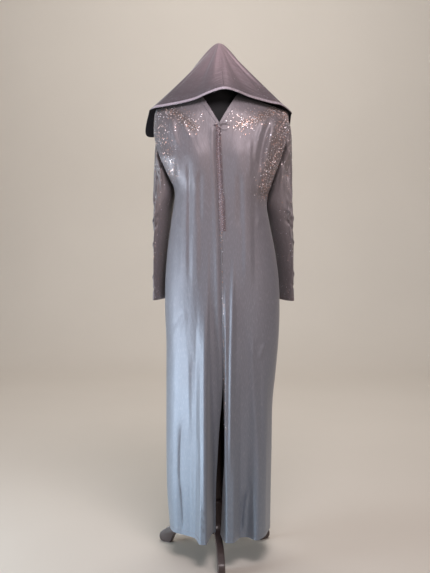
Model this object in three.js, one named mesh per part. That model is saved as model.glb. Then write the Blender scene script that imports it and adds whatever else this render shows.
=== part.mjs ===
// An abaya with its hood, on a limbless dress form that stands on three legs.
// Millimetres, +Z up. The garment faces -Y, so the wearer's right is at -X and the left at +X.
// Each cloth piece is a wall of even thickness. Its outer face is a formula of two places, and its
// inner face is the same points moved in along the normal.

import * as THREE from 'three';

// ---------------------------------------------------------------- driving sizes

const CLOTH = 1.8; // wall of the satin, with its turned edges
const TRIM = 1.2; // wall of the braid and bands sewn on it
const SEAM = 0.3; // gap left between pieces that are sewn together
const HEM = 86; // height of the hem above the floor
const PEAK = 1665; // top of the hood
const NECK_SIDE = { x: 62, z: 1500 }; // where the shoulder seam meets the neck
const SHOULDER_FALL = 0.37; // drop of the shoulder seam for each millimetre outwards
const SHOULDER_ROUND = 82; // height over which the cloth turns over the shoulder
const V_POINT = 1396; // lowest point of the neck opening
const BACK_NECK_DIP = 12;
const UNDERARM = 1140; // below this the rows of the body are level
const BOX = 2.5; // squareness of the body's sections, 2 for an ellipse
const RIGHT = -1;
const LEFT = 1;
const FRONT = -1;
const BACK = 1;

// ---------------------------------------------------------------- colours

function finish(color, roughness, metalness = 0) {
  return new THREE.MeshStandardMaterial({ color, roughness, metalness });
}

const SATIN = finish(0x8d93a3, 0.4);
const SATIN_BAND = finish(0xc9c2cf, 0.35);
const BRAID = finish(0x776c6f, 0.5);
const JERSEY = finish(0x0d0c11, 0.85);
const WALNUT = finish(0x4a3834, 0.45);

// ---------------------------------------------------------------- small maths

const mix = (a, b, t) => a + (b - a) * t;
const clamp = (t) => Math.min(1, Math.max(0, t));
const ease = (t) => clamp(t) ** 2 * (3 - 2 * clamp(t));
const steps = (count) => Array.from({ length: count + 1 }, (_, i) => i / count);

// A smooth curve through one column of a table whose rows rise in z.
function through(rows, column) {
  const at = rows.map((row) => row.z);
  const value = rows.map((row) => row[column]);
  const last = rows.length - 1;
  const slope = value.map((_, i) => {
    const a = Math.max(i - 1, 0);
    const b = Math.min(i + 1, last);
    return (value[b] - value[a]) / (at[b] - at[a]);
  });
  return (z) => {
    if (z <= at[0]) return value[0];
    if (z >= at[last]) return value[last];
    const i = at.findIndex((level) => level > z) - 1;
    const span = at[i + 1] - at[i];
    const t = (z - at[i]) / span;
    const bend = (1 - t) * slope[i] * span * t * (1 - t) - t * slope[i + 1] * span * t * (1 - t);
    return mix(value[i], value[i + 1], ease(t)) + bend;
  };
}

// 1 on the crown of a fold, falling smoothly to 0 at its foot on either side.
function crown(distance, before, after) {
  const reach = distance < 0 ? -distance / before : distance / after;
  return 1 - ease((reach - 0.25) / 0.75);
}

// ---------------------------------------------------------------- walls

// The outward normal of a surface of two places.
function normalOf(surface, u, v, outward) {
  const small = 1e-4;
  const alongU = surface(u + small, v).sub(surface(u - small, v));
  const alongV = surface(u, v + small).sub(surface(u, v - small));
  return alongU.cross(alongV).normalize().multiplyScalar(outward);
}

// A closed wall over a grid of places. `outward` is 1 or -1, the sense of the surface's normal,
// `lift` raises its outer face off the surface, `round` joins its last column to its first, `tip`
// draws its first row to one point, and `keep` holds a point on its own side of the seams.
function wall({ name, surface, us, vs, outward, material, thick = CLOTH, lift = 0, round, tip, keep }) {
  const columns = us.length;
  const rows = vs.length;
  const points = [];
  for (const depth of [lift, lift - thick]) {
    for (const v of vs) {
      for (const u of us) {
        const normal = tip && v === vs[0] ? new THREE.Vector3(0, 0, 1) : normalOf(surface, u, v, outward);
        const point = surface(u, v).addScaledVector(normal, depth);
        points.push(keep ? keep(point) : point);
      }
    }
  }
  const place = (layer, row, column) => {
    const across = tip && row === 0 ? 0 : column % columns;
    return (layer * rows + row) * columns + across;
  };
  const faces = [];
  const quad = (a, b, c, d) => {
    if (a !== b && b !== c) faces.push(a, b, c);
    if (a !== d && d !== c) faces.push(a, c, d);
  };
  const spans = round ? columns : columns - 1;
  for (let row = 0; row < rows - 1; row += 1) {
    for (let column = 0; column < spans; column += 1) {
      const [a, b] = [place(0, row, column), place(0, row, column + 1)];
      const [c, d] = [place(0, row + 1, column + 1), place(0, row + 1, column)];
      const [e, f] = [place(1, row, column), place(1, row, column + 1)];
      const [g, h] = [place(1, row + 1, column + 1), place(1, row + 1, column)];
      quad(a, b, c, d);
      quad(e, h, g, f);
      if (row === 0 && !tip) quad(a, e, f, b);
      if (row === rows - 2) quad(d, c, g, h);
      if (!round && column === 0) quad(a, d, h, e);
      if (!round && column === spans - 1) quad(b, f, g, c);
    }
  }
  if (outward < 0) faces.reverse();
  return solid(name, points, faces, material);
}

// A mesh from points and faces, leaving out the points that no face uses.
function solid(name, points, faces, material) {
  const kept = new Map();
  const positions = [];
  const index = faces.map((i) => {
    if (!kept.has(i)) {
      kept.set(i, kept.size);
      positions.push(...points[i].toArray());
    }
    return kept.get(i);
  });
  const geometry = new THREE.BufferGeometry();
  geometry.setAttribute('position', new THREE.Float32BufferAttribute(positions, 3));
  geometry.setIndex(index);
  geometry.computeVertexNormals();
  return named(new THREE.Mesh(geometry, material), name);
}

function named(mesh, name) {
  mesh.name = name;
  return mesh;
}

// ---------------------------------------------------------------- the body of the garment

// Sections of the body: reach to the wearer's right and left, depth before and behind the middle.
const BODY = [
  { z: 86, right: 160, left: 167, front: 119, back: 142 },
  { z: 200, right: 169, left: 169, front: 119, back: 140 },
  { z: 347, right: 172, left: 172, front: 119, back: 136 },
  { z: 495, right: 172, left: 175, front: 121, back: 130 },
  { z: 593, right: 172, left: 185, front: 123, back: 126 },
  { z: 692, right: 172, left: 194, front: 125, back: 123 },
  { z: 790, right: 176, left: 198, front: 126, back: 121 },
  { z: 889, right: 176, left: 195, front: 125, back: 119 },
  { z: 987, right: 169, left: 182, front: 122, back: 114 },
  { z: 1085, right: 156, left: 163, front: 119, back: 108 },
  { z: 1134, right: 149, left: 156, front: 118, back: 105 },
  { z: 1183, right: 146, left: 163, front: 118, back: 103 },
  { z: 1249, right: 173, left: 186, front: 119, back: 103 },
  { z: 1298, right: 194, left: 203, front: 117, back: 103 },
  { z: 1357, right: 212, left: 220, front: 110, back: 100 },
  { z: 1400, right: 213, left: 227, front: 101, back: 95 },
  { z: 1430, right: 211, left: 227, front: 93, back: 90 },
  { z: 1450, right: 206, left: 221, front: 86, back: 84 },
  { z: 1500, right: 204, left: 218, front: 72, back: 74 },
];

const REACH = { [RIGHT]: through(BODY, 'right'), [LEFT]: through(BODY, 'left') };
const DEPTH = { [FRONT]: through(BODY, 'front'), [BACK]: through(BODY, 'back') };

// The dropped armhole of each side: its top on the arm and its foot under it.
const ARMHOLE = {
  [RIGHT]: { top: 1366, foot: 1182 },
  [LEFT]: { top: 1428, foot: 1146 },
};
const ARMHOLE_CUT = 0.2; // how far round the side, as a share of a quarter, it is cut back
const ROLL = 9; // how far the edge of the shoulder rolls in under itself
const ROLL_CLEAR = 1.2; // and how near it comes to the sleeve
const ROLL_SHARE = 0.975; // the share of a panel's width at which the roll starts

const armholeBite = (side, z) => {
  const { top, foot } = ARMHOLE[side];
  return ease((top - z) / 50) * ease((z - foot) / 44);
};

const edgeTurn = (side, z) => 1 - ARMHOLE_CUT * armholeBite(side, z);

// The half width of a section that meets its reach where it is cut back, not at its middle.
function spread(side, face, z) {
  const [wide, deep] = [REACH[side](z), DEPTH[face](z)];
  const slant = 1 / Math.tan((edgeTurn(side, z) * Math.PI) / 2);
  return (wide ** -BOX - Math.max(0, slant / deep) ** BOX) ** (-1 / BOX);
}

// Folds of the skirt and the waist. x is the place at the hem, lean its shift a metre higher,
// before and after its half widths, out its height there. It grows from `from` down to `full`,
// and dies away again below `fade` where the cloth smooths out.
const FOLDS = [
  { face: FRONT, x: -52, lean: 4, before: 25, after: 36, out: 46, from: 880, full: HEM, fade: 0 },
  { face: FRONT, x: -5, lean: 20, before: 38, after: 17, out: -50, from: 700, full: HEM, fade: 0 },
  { face: FRONT, x: 32, lean: 4, before: 30, after: 38, out: 44, from: 960, full: HEM, fade: 0 },
  { face: FRONT, x: 140, lean: 10, before: 58, after: 25, out: 52, from: 640, full: HEM, fade: 0 },
  { face: FRONT, x: -104, lean: 0, before: 44, after: 38, out: -19, from: 820, full: HEM, fade: 0 },
  { face: FRONT, x: -112, lean: 0, before: 15, after: 15, out: 7, from: 1275, full: 1180, fade: 940 },
  { face: FRONT, x: -80, lean: 0, before: 15, after: 17, out: 6, from: 1270, full: 1160, fade: 960 },
  { face: FRONT, x: 92, lean: 0, before: 20, after: 18, out: 6, from: 1262, full: 1150, fade: 940 },
  { face: BACK, x: -118, lean: 10, before: 34, after: 30, out: 22, from: 1000, full: HEM, fade: 0 },
  { face: BACK, x: -66, lean: 6, before: 26, after: 30, out: -30, from: 900, full: HEM, fade: 0 },
  { face: BACK, x: -20, lean: 4, before: 30, after: 34, out: 34, from: 1060, full: HEM, fade: 0 },
  { face: BACK, x: 34, lean: 0, before: 30, after: 26, out: -32, from: 860, full: HEM, fade: 0 },
  { face: BACK, x: 84, lean: -6, before: 34, after: 38, out: 30, from: 980, full: HEM, fade: 0 },
];

function foldOut(face, x, z) {
  let out = 0;
  for (const fold of FOLDS) {
    const grown = clamp((fold.from - z) / (fold.from - fold.full)) ** 1.2;
    const middle = fold.x + (fold.lean * (z - HEM)) / 1000;
    const left = fold.fade ? ease((z - fold.fade) / 120) : 1;
    if (fold.face === face) out += fold.out * grown * left * crown(x - middle, fold.before, fold.after);
  }
  return out;
}

// The two soft mounds of the bust, from which the cloth hangs.
const BUST = { x: 70, z: 1284, out: 15, across: 50, above: 62, below: 190 };

function bustOut(x, z) {
  const high = z - BUST.z;
  const tall = Math.exp(-((high / (high > 0 ? BUST.above : BUST.below)) ** 2));
  const wide = Math.exp(-(((Math.abs(x) - BUST.x) / BUST.across) ** 2));
  return BUST.out * tall * wide;
}

const shoulderHeight = (x) => NECK_SIDE.z - SHOULDER_FALL * (Math.abs(x) - NECK_SIDE.x);

// A point of the body's outer face. `turn` is -1 at the wearer's right side seam, 0 in the middle
// and 1 at the left side seam, by the angle seen from above.
function bodyPoint(face, turn, z) {
  const side = turn < 0 ? RIGHT : LEFT;
  const angle = (Math.abs(turn) * Math.PI) / 2;
  const [wide, deep] = [spread(side, face, z), DEPTH[face](z)];
  const radius = ((Math.sin(angle) / wide) ** BOX + (Math.abs(Math.cos(angle)) / deep) ** BOX) ** (-1 / BOX);
  const x = side * radius * Math.sin(angle);
  const flat = 1 - (Math.abs(x) / wide) ** 6;
  const extra = foldOut(face, x, z) + (face === FRONT ? bustOut(x, z) : 0);
  const below = clamp((shoulderHeight(x) - z) / SHOULDER_ROUND);
  const over = Math.sqrt(1 - (1 - below) ** 2);
  const depth = (radius * Math.cos(angle) + extra * flat) * over;
  return new THREE.Vector3(x, face * (SEAM / 2 + depth), z);
}

// The turn at which the body reaches a distance x from its middle.
function turnOf(face, x, z) {
  const side = x < 0 ? RIGHT : LEFT;
  const [wide, deep] = [spread(side, face, z), DEPTH[face](z)];
  const y = deep * (1 - clamp(Math.abs(x) / wide) ** BOX) ** (1 / BOX);
  return (side * Math.atan2(Math.abs(x), y)) / (Math.PI / 2);
}

// ---------------------------------------------------------------- sleeves

// Sections of each hanging sleeve: its outermost reach, half its thickness, half its width from
// front to back, how far it hangs behind the middle, and how far its back edge swings inwards for
// each millimetre of that width.
const SLEEVES = {
  [RIGHT]: [
    { z: 826, out: 215, thin: 13, wide: 60, behind: 22, swing: 0.3 },
    { z: 880, out: 214, thin: 13, wide: 62, behind: 22, swing: 0.3 },
    { z: 980, out: 213, thin: 15, wide: 65, behind: 21, swing: 0.3 },
    { z: 1080, out: 212, thin: 20, wide: 65, behind: 18, swing: 0.3 },
    { z: 1160, out: 212, thin: 25, wide: 58, behind: 12, swing: 0.26 },
    { z: 1240, out: 212, thin: 27, wide: 42, behind: -2, swing: 0.04 },
    { z: 1310, out: 210, thin: 27, wide: 41, behind: 0, swing: 0 },
    { z: 1370, out: 204, thin: 20, wide: 24, behind: 0, swing: 0 },
  ],
  [LEFT]: [
    { z: 824, out: 244, thin: 18, wide: 60, behind: 20, swing: 0.3 },
    { z: 880, out: 243, thin: 18, wide: 62, behind: 20, swing: 0.3 },
    { z: 980, out: 242, thin: 23, wide: 65, behind: 19, swing: 0.3 },
    { z: 1080, out: 240, thin: 32, wide: 65, behind: 16, swing: 0.3 },
    { z: 1160, out: 239, thin: 36, wide: 54, behind: 9, swing: 0.26 },
    { z: 1240, out: 239, thin: 38, wide: 44, behind: 1, swing: 0.06 },
    { z: 1330, out: 239, thin: 33, wide: 41, behind: 0, swing: 0 },
    { z: 1390, out: 234, thin: 24, wide: 28, behind: 0, swing: 0 },
    { z: 1430, out: 218, thin: 14, wide: 12, behind: 0, swing: 0 },
  ],
};
const SLEEVE = {};
for (const side of [RIGHT, LEFT]) {
  SLEEVE[side] = {};
  for (const column of ['out', 'thin', 'wide', 'behind', 'swing']) {
    SLEEVE[side][column] = through(SLEEVES[side], column);
  }
}
const SLEEVE_TOP = { [RIGHT]: 1361, [LEFT]: 1424 };
const SLEEVE_LAP = 16; // how far the head runs up under the edge of the shoulder
const SLEEVE_SEAM = 0.42; // half the gap of its two seams outside, which leaves SEAM inside the fold
const OUTER = 0; // turn at which the half away from the body starts, at the front seam
const INNER = 0.5; // and the half against the body, at the back seam

// The size of a sleeve's section: its middle, the half of its reach that is its own thickness and
// the half that its swing adds.
function sleeveSection(side, z) {
  const at = SLEEVE[side];
  const [thin, swung] = [at.thin(z), at.swing(z) * at.wide(z)];
  const half = Math.hypot(thin, swung);
  return { middle: at.out(z) - half, half, thin, swung, wide: at.wide(z), behind: at.behind(z) };
}

// A point of a sleeve's outer face. `turn` is 0 at its front, 0.25 at its outside, and so on.
function sleevePoint(side, turn, z) {
  const { middle, thin, swung, wide, behind } = sleeveSection(side, z);
  const angle = turn * 2 * Math.PI;
  const x = side * (middle + thin * Math.sin(angle) + swung * Math.cos(angle));
  return new THREE.Vector3(x, behind - wide * Math.cos(angle), z);
}

// How far before or behind the middle a sleeve's face stands at a distance x from the middle. Past
// the sleeve's own edges it stays level with the last of its flat part.
function sleeveFace(side, face, x, z) {
  const { middle, half, thin, swung, wide, behind } = sleeveSection(side, z);
  const across = Math.asin(Math.max(-0.3, Math.min(0.9, (Math.abs(x) - middle) / half)));
  const angle = (face === FRONT ? across : Math.PI - across) - Math.atan2(swung, thin);
  return behind - wide * Math.cos(angle);
}

// The height of a sleeve's head, where it has passed under the edge of the shoulder.
function sleeveHead(side, turn) {
  let [low, high] = [ARMHOLE[side].foot, SLEEVE_TOP[side]];
  for (let i = 0; i < 20; i += 1) {
    const z = (low + high) / 2;
    if (Math.abs(sleevePoint(side, turn, z).x) > REACH[side](z)) low = z;
    else high = z;
  }
  return Math.min(high + SLEEVE_LAP, SLEEVE_TOP[side]);
}

// One half of a sleeve, cut along the folds at its front and back.
function sleeveHalf(name, side, first) {
  const cuff = SLEEVES[side][0].z;
  const surface = (share, v) => {
    const z = mix(sleeveHead(side, first + share / 2), cuff, v);
    const gap = SLEEVE_SEAM / (2 * Math.PI * SLEEVE[side].thin(z));
    return sleevePoint(side, mix(first + gap, first + 0.5 - gap, share), z);
  };
  return wall({ name, surface, us: steps(9), vs: steps(12), outward: -side, material: SATIN });
}

// ---------------------------------------------------------------- front and back panels

// The two front edges from the neck to the hem, and the slit that opens between them.
const FRONT_EDGE = [
  { z: 86, right: -11, left: 4 },
  { z: 130, right: -11, left: 7 },
  { z: 240, right: -10, left: 11 },
  { z: 330, right: -5, left: 15.5 },
  { z: 420, right: 0, left: 16 },
  { z: 520, right: 8, left: 14.5 },
  { z: 620, right: 11.5, left: 12.5 },
  { z: 790, right: 7, left: 7 + SEAM },
  { z: 1000, right: 2, left: 2 + SEAM },
  { z: 1150, right: -3, left: -3 + SEAM },
  { z: 1300, right: -10, left: -10 + SEAM },
  { z: 1400, right: -11, left: -11 + SEAM },
];
const EDGE = { [RIGHT]: through(FRONT_EDGE, 'right'), [LEFT]: through(FRONT_EDGE, 'left') };

// The turn of a panel's side edge: the side seam, or the armhole where it is cut back.
const sideTurn = (side, z) => side * (edgeTurn(side, z) - 0.0006);

// A point of a panel near its armhole, which rolls back in onto the sleeve.
function rolled(face, side, share, z, start) {
  const bite = armholeBite(side, z);
  const edge = sideTurn(side, z);
  const across = mix(share, Math.min(share / ROLL_SHARE, 1), bite);
  const flat = bodyPoint(face, mix(start, edge, across), z);
  const roll = bite * clamp((share - ROLL_SHARE) / (1 - ROLL_SHARE));
  if (roll === 0) return flat;
  const x = flat.x - side * ROLL * roll;
  const rest = sleeveFace(side, face, x, z) + face * (CLOTH + ROLL_CLEAR);
  return new THREE.Vector3(x, mix(flat.y, face * Math.max(face * rest, 0), roll), z);
}

// Where the neck opening or the shoulder seam tops the cloth at a distance x from the middle.
function topHeight(face, x) {
  const inside = Math.abs(x) / NECK_SIDE.x;
  if (inside >= 1) return shoulderHeight(x);
  if (face === BACK) return NECK_SIDE.z - BACK_NECK_DIP * (1 - inside ** 2);
  return mix(V_POINT, NECK_SIDE.z, inside);
}

// Rows from the top edge down to the underarm, then level to the hem.
const ROWS = [...steps(10).map((t) => t ** 1.7), ...steps(12).slice(1).map((t) => 1 + t)];

function rowHeight(top, v) {
  return v < 1 ? mix(top, UNDERARM, v) : mix(UNDERARM, HEM, v - 1);
}

// Columns of a front panel, closer together round the folds beside the opening, and of a back one.
const FRONT_COLUMNS = [...steps(19).map((t) => ROLL_SHARE * mix(t ** 1.25, t, t)), 1];
const BACK_COLUMNS = [...steps(13).map((t) => ROLL_SHARE * t), 1];

// The turn of a panel's inner edge: the front opening, or the seam down the middle of the back.
function startTurn(face, side, z) {
  return turnOf(face, face === FRONT ? EDGE[side](z) : (side * SEAM) / 2, z);
}

// The height at which a column of a panel ends, found by closing in on it.
function topOf(face, side, share) {
  let z = V_POINT;
  for (let i = 0; i < 6; i += 1) {
    const turn = mix(startTurn(face, side, z), sideTurn(side, z), share);
    z = topHeight(face, bodyPoint(face, turn, z).x);
  }
  return z;
}

// A panel's outer face: share runs from its inner edge to its side.
function panelSurface(face, side) {
  return (share, v) => {
    const z = rowHeight(topOf(face, side, share), v);
    return rolled(face, side, share, z, startTurn(face, side, z));
  };
}

const PANEL = {
  [FRONT]: { [RIGHT]: panelSurface(FRONT, RIGHT), [LEFT]: panelSurface(FRONT, LEFT) },
  [BACK]: { [RIGHT]: panelSurface(BACK, RIGHT), [LEFT]: panelSurface(BACK, LEFT) },
};

// Keeps a point of a panel clear of the seams at its side and, on the back, down its middle.
function keepTo(face, side) {
  return (point) => {
    point.y = face * Math.max(face * point.y, SEAM / 2);
    if (face === BACK) point.x = side * Math.max(side * point.x, SEAM / 2);
    return point;
  };
}

// A strip of a panel's own columns and rows: the panel itself, or a band that lies on it.
function onPanel(name, face, side, us, vs, look) {
  const surface = PANEL[face][side];
  return wall({ name, surface, us, vs, outward: face * side, keep: keepTo(face, side), ...look });
}

function panel(name, face, side) {
  return onPanel(name, face, side, face === FRONT ? FRONT_COLUMNS : BACK_COLUMNS, ROWS, { material: SATIN });
}

// ---------------------------------------------------------------- the dress form

const FORM = [
  { z: 800, wide: 140, front: 84, back: 96 },
  { z: 815, wide: 150, front: 92, back: 103 },
  { z: 880, wide: 154, front: 97, back: 108 },
  { z: 960, wide: 140, front: 93, back: 98 },
  { z: 1060, wide: 116, front: 86, back: 84 },
  { z: 1160, wide: 124, front: 94, back: 86 },
  { z: 1240, wide: 134, front: 108, back: 90 },
  { z: 1290, wide: 140, front: 108, back: 92 },
  { z: 1350, wide: 150, front: 96, back: 90 },
  { z: 1405, wide: 164, front: 80, back: 80 },
  { z: 1435, wide: 150, front: 66, back: 70 },
  { z: 1462, wide: 112, front: 52, back: 60 },
  { z: 1482, wide: 66, front: 42, back: 46 },
  { z: 1500, wide: 47, front: 40, back: 41 },
  { z: 1530, wide: 44, front: 41, back: 41 },
  { z: 1560, wide: 43, front: 42, back: 42 },
];
const FORM_TOP = FORM[FORM.length - 1].z;
const FORM_FOOT = FORM[0].z;

// A closed loft through level sections, with flat ends.
function dressForm(name) {
  const at = { wide: through(FORM, 'wide'), front: through(FORM, 'front'), back: through(FORM, 'back') };
  const round = 24;
  const levels = steps(19).map((t) => mix(FORM_FOOT, FORM_TOP, t));
  const points = [];
  for (const z of levels) {
    for (let i = 0; i < round; i += 1) {
      const angle = (i / round) * 2 * Math.PI;
      const deep = Math.cos(angle) > 0 ? at.front(z) : at.back(z);
      const bust = Math.cos(angle) > 0 ? bustOut(at.wide(z) * Math.sin(angle), z) * 0.6 : 0;
      const y = -Math.cos(angle) * deep - bust * Math.max(0, Math.cos(angle));
      points.push(new THREE.Vector3(at.wide(z) * Math.sin(angle), y, z));
    }
  }
  const foot = points.push(new THREE.Vector3(0, 0, FORM_FOOT)) - 1;
  const head = points.push(new THREE.Vector3(0, 0, FORM_TOP)) - 1;
  const lastRow = (levels.length - 1) * round;
  const faces = [];
  for (let i = 0; i < round; i += 1) {
    const next = (i + 1) % round;
    for (let row = 0; row < levels.length - 1; row += 1) {
      const [a, b] = [row * round + i, row * round + next];
      faces.push(a, b, b + round, a, b + round, a + round);
    }
    faces.push(foot, next, i, head, lastRow + i, lastRow + next);
  }
  return solid(name, points, faces, JERSEY);
}

// ---------------------------------------------------------------- the stand

const STAND = { x: -7, y: 8 }; // the pole, a little to the wearer's right of the neck
const POLE = 15;
const HUB = { foot: 58, top: 168, radius: 28 };
const LEG = { wide: 22, azimuth: 4 };

function turned(name, outline, material) {
  const profile = outline.map(([radius, z]) => new THREE.Vector2(radius, z));
  const geometry = new THREE.LatheGeometry(profile, 20);
  geometry.rotateX(Math.PI / 2);
  return named(new THREE.Mesh(geometry, material), name);
}

// The cap that closes the neck, turned in one with the knob that holds up the hood.
function neckCap(name) {
  const foot = FORM_TOP + SEAM;
  const knob = PEAK - 25;
  const outline = [[0, foot], [41, foot], [42, foot + 5], [40, foot + 11], [20, foot + 15], [9, foot + 22]];
  outline.push([7, foot + 40], [6, knob - 14], [9, knob - 10]);
  for (const t of steps(6)) {
    const angle = mix(-50, 90, t) * (Math.PI / 180);
    outline.push([t === 1 ? 0 : 12 * Math.cos(angle), knob + 12 * Math.sin(angle)]);
  }
  return turned(name, outline, WALNUT);
}

function hub(name) {
  const { foot, top, radius } = HUB;
  const outline = [[0, foot], [radius - 8, foot], [radius, foot + 8], [radius, top - 14]];
  outline.push([radius - 8, top], [0, top]);
  return turned(name, outline, WALNUT);
}

function pole(name) {
  const [foot, top] = [HUB.top + SEAM, FORM_FOOT - SEAM];
  return turned(name, [[0, foot], [POLE, foot], [POLE, top], [0, top]], WALNUT);
}

// A leg sawn from one board: a curved blade that ends in a foot with a flat sole.
function leg(name, azimuth) {
  const inner = HUB.radius + SEAM;
  const outline = new THREE.Shape();
  outline.moveTo(inner, 140);
  outline.bezierCurveTo(31, 104, 38, 84, 62, 77);
  outline.bezierCurveTo(104, 68, 152, 70, 178, 51);
  outline.bezierCurveTo(196, 38, 211, 32, 211, 17);
  outline.bezierCurveTo(211, 6, 204, 0, 195, 0);
  outline.lineTo(172, 0);
  outline.bezierCurveTo(163, 2, 164, 26, 148, 36);
  outline.bezierCurveTo(122, 50, 78, 46, inner, 62);
  const geometry = new THREE.ExtrudeGeometry(outline, { depth: LEG.wide, bevelEnabled: false, curveSegments: 7 });
  geometry.translate(0, 0, -LEG.wide / 2);
  geometry.rotateX(Math.PI / 2);
  geometry.rotateZ(((azimuth - 90) * Math.PI) / 180);
  return named(new THREE.Mesh(geometry, WALNUT), name);
}

// ---------------------------------------------------------------- the hood

// The free edge of the hood, once round from the middle of its front towards the wearer's right.
// `fall` below 1 drops steeply from the peak, above 1 it stands out before it drops.
const HOOD_EDGE = [
  { x: 14, y: -104, z: 1505, fall: 1.0 },
  { x: -32, y: -96, z: 1487, fall: 1.0 },
  { x: -77, y: -82, z: 1471, fall: 0.96 },
  { x: -125, y: -66, z: 1460, fall: 0.9 },
  { x: -185, y: -42, z: 1452, fall: 0.86 },
  { x: -220, y: -20, z: 1447, fall: 0.86 },
  { x: -233, y: 32, z: 1438, fall: 0.92 },
  { x: -246, y: 84, z: 1371, fall: 1.15 },
  { x: -200, y: 114, z: 1362, fall: 1.35 },
  { x: -105, y: 126, z: 1342, fall: 1.6 },
  { x: 0, y: 132, z: 1328, fall: 1.7 },
  { x: 105, y: 126, z: 1340, fall: 1.6 },
  { x: 196, y: 112, z: 1360, fall: 1.35 },
  { x: 232, y: 84, z: 1374, fall: 1.15 },
  { x: 239, y: 30, z: 1430, fall: 0.95 },
  { x: 236, y: -18, z: 1436, fall: 0.95 },
  { x: 204, y: -40, z: 1456, fall: 0.95 },
  { x: 164, y: -56, z: 1463, fall: 0.96 },
  { x: 99, y: -74, z: 1479, fall: 0.98 },
  { x: 54, y: -92, z: 1494, fall: 1.0 },
];
const HOOD_TIP = 0.05; // rounding of the peak, as a share of the way to the edge

// Soft ridges that run down from the peak: the row of the edge they point at, and their height.
const HOOD_RIDGES = [
  { row: 3.2, width: 1.0, out: 6 },
  { row: 9.0, width: 1.3, out: 9 },
  { row: 11.6, width: 1.2, out: 8 },
  { row: 17.6, width: 0.9, out: 8 },
];

// One column of a closed table, read smoothly at a place that counts its rows.
function aroundTable(rows, column, place) {
  const count = rows.length;
  const i = Math.floor(place);
  const t = place - i;
  const [a, b, c, d] = [-1, 0, 1, 2].map((step) => rows[(((i + step) % count) + count) % count][column]);
  return b + 0.5 * t * (c - a + t * (2 * a - 5 * b + 4 * c - d + t * (3 * (b - c) + d - a)));
}

function hoodPoint(place, out) {
  const [x, y, z, fall] = ['x', 'y', 'z', 'fall'].map((column) => aroundTable(HOOD_EDGE, column, place));
  const rounded = (Math.hypot(out, HOOD_TIP) - HOOD_TIP) / (Math.hypot(1, HOOD_TIP) - HOOD_TIP);
  const drop = Math.sign(rounded) * Math.abs(rounded) ** fall;
  const count = HOOD_EDGE.length;
  let ridge = 0;
  for (const { row, width, out: height } of HOOD_RIDGES) {
    const apart = ((((place - row) % count) + count * 1.5) % count) - count / 2;
    ridge += height * crown(apart, width, width) * Math.sin(Math.PI * clamp(out)) ** 2;
  }
  return new THREE.Vector3(x * out, y * out, PEAK - (PEAK - z) * drop + ridge);
}

function hood(name) {
  const us = steps(40).slice(0, -1).map((t) => t * HOOD_EDGE.length);
  const vs = [0, 0.06, 0.15, 0.3, 0.47, 0.64, 0.81, 0.955, 1];
  return wall({ name, surface: hoodPoint, us, vs, outward: 1, material: SATIN, round: true, tip: true });
}

// ---------------------------------------------------------------- bands and trim

const LIFT = SEAM + TRIM;

// The pale band along the hood's front edge, from corner to corner.
function hoodBand(name) {
  const us = steps(20).map((t) => mix(-5, 5, t));
  return wall({
    name, surface: hoodPoint, us, vs: [0.955, 0.999], outward: 1, material: SATIN_BAND, thick: TRIM, lift: LIFT,
  });
}

const SEWN_ON = { thick: TRIM, lift: LIFT };
const BAND_ROWS = ROWS.slice(0, 3);
const BAND_COLUMNS = {
  [FRONT]: FRONT_COLUMNS.filter((share) => share < 0.36),
  [BACK]: BACK_COLUMNS.filter((share) => share < 0.45),
};

// The band that faces the neck opening of one panel.
function neckband(name, face, side) {
  return onPanel(name, face, side, BAND_COLUMNS[face], BAND_ROWS, { material: SATIN, ...SEWN_ON });
}

// The stone-set braid down the left front edge, from the neck to below the waist.
function braid(name) {
  const us = FRONT_COLUMNS.slice(0, 4);
  const vs = [BAND_ROWS[2] + 0.002, ...ROWS.slice(3, 12)];
  return onPanel(name, FRONT, LEFT, us, vs, { material: BRAID, ...SEWN_ON });
}

// The small covered bar that hooks the neck opening shut.
function neckHook(name) {
  const geometry = new THREE.CapsuleGeometry(2.2, 9, 4, 8);
  geometry.rotateZ(Math.PI / 2);
  const bar = named(new THREE.Mesh(geometry, BRAID), name);
  const z = V_POINT - 7;
  const seat = bodyPoint(FRONT, turnOf(FRONT, EDGE[LEFT](z), z), z);
  bar.position.set(seat.x, seat.y - LIFT - 2.6, z);
  return bar;
}

// ---------------------------------------------------------------- the whole

const whole = new THREE.Group();

const garment = new THREE.Group();
garment.add(panel('front_right', FRONT, RIGHT), panel('front_left', FRONT, LEFT));
garment.add(panel('back_right', BACK, RIGHT), panel('back_left', BACK, LEFT));
garment.add(sleeveHalf('sleeve_right_outer', RIGHT, OUTER), sleeveHalf('sleeve_right_inner', RIGHT, INNER));
garment.add(sleeveHalf('sleeve_left_outer', LEFT, OUTER), sleeveHalf('sleeve_left_inner', LEFT, INNER));
garment.add(neckband('neckband_right', FRONT, RIGHT), neckband('neckband_left', FRONT, LEFT));
garment.add(neckband('neckband_back_right', BACK, RIGHT), neckband('neckband_back_left', BACK, LEFT));
garment.add(braid('placket_braid'), neckHook('neck_hook'));
garment.add(hood('hood'), hoodBand('hood_band'));

const stand = new THREE.Group();
stand.position.set(STAND.x, STAND.y, 0);
stand.add(pole('pole'), hub('hub'));
stand.add(leg('leg_front', LEG.azimuth), leg('leg_right', LEG.azimuth - 120));
stand.add(leg('leg_left', LEG.azimuth + 120));

whole.add(garment, dressForm('form_torso'), neckCap('neck_cap'), stand);

// The origin is the middle of the whole thing's box, on the floor.
const bounds = new THREE.Box3().setFromObject(whole, true);
const middle = bounds.getCenter(new THREE.Vector3());
whole.position.set(-middle.x, -middle.y, -bounds.min.z);

export default whole;
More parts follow.
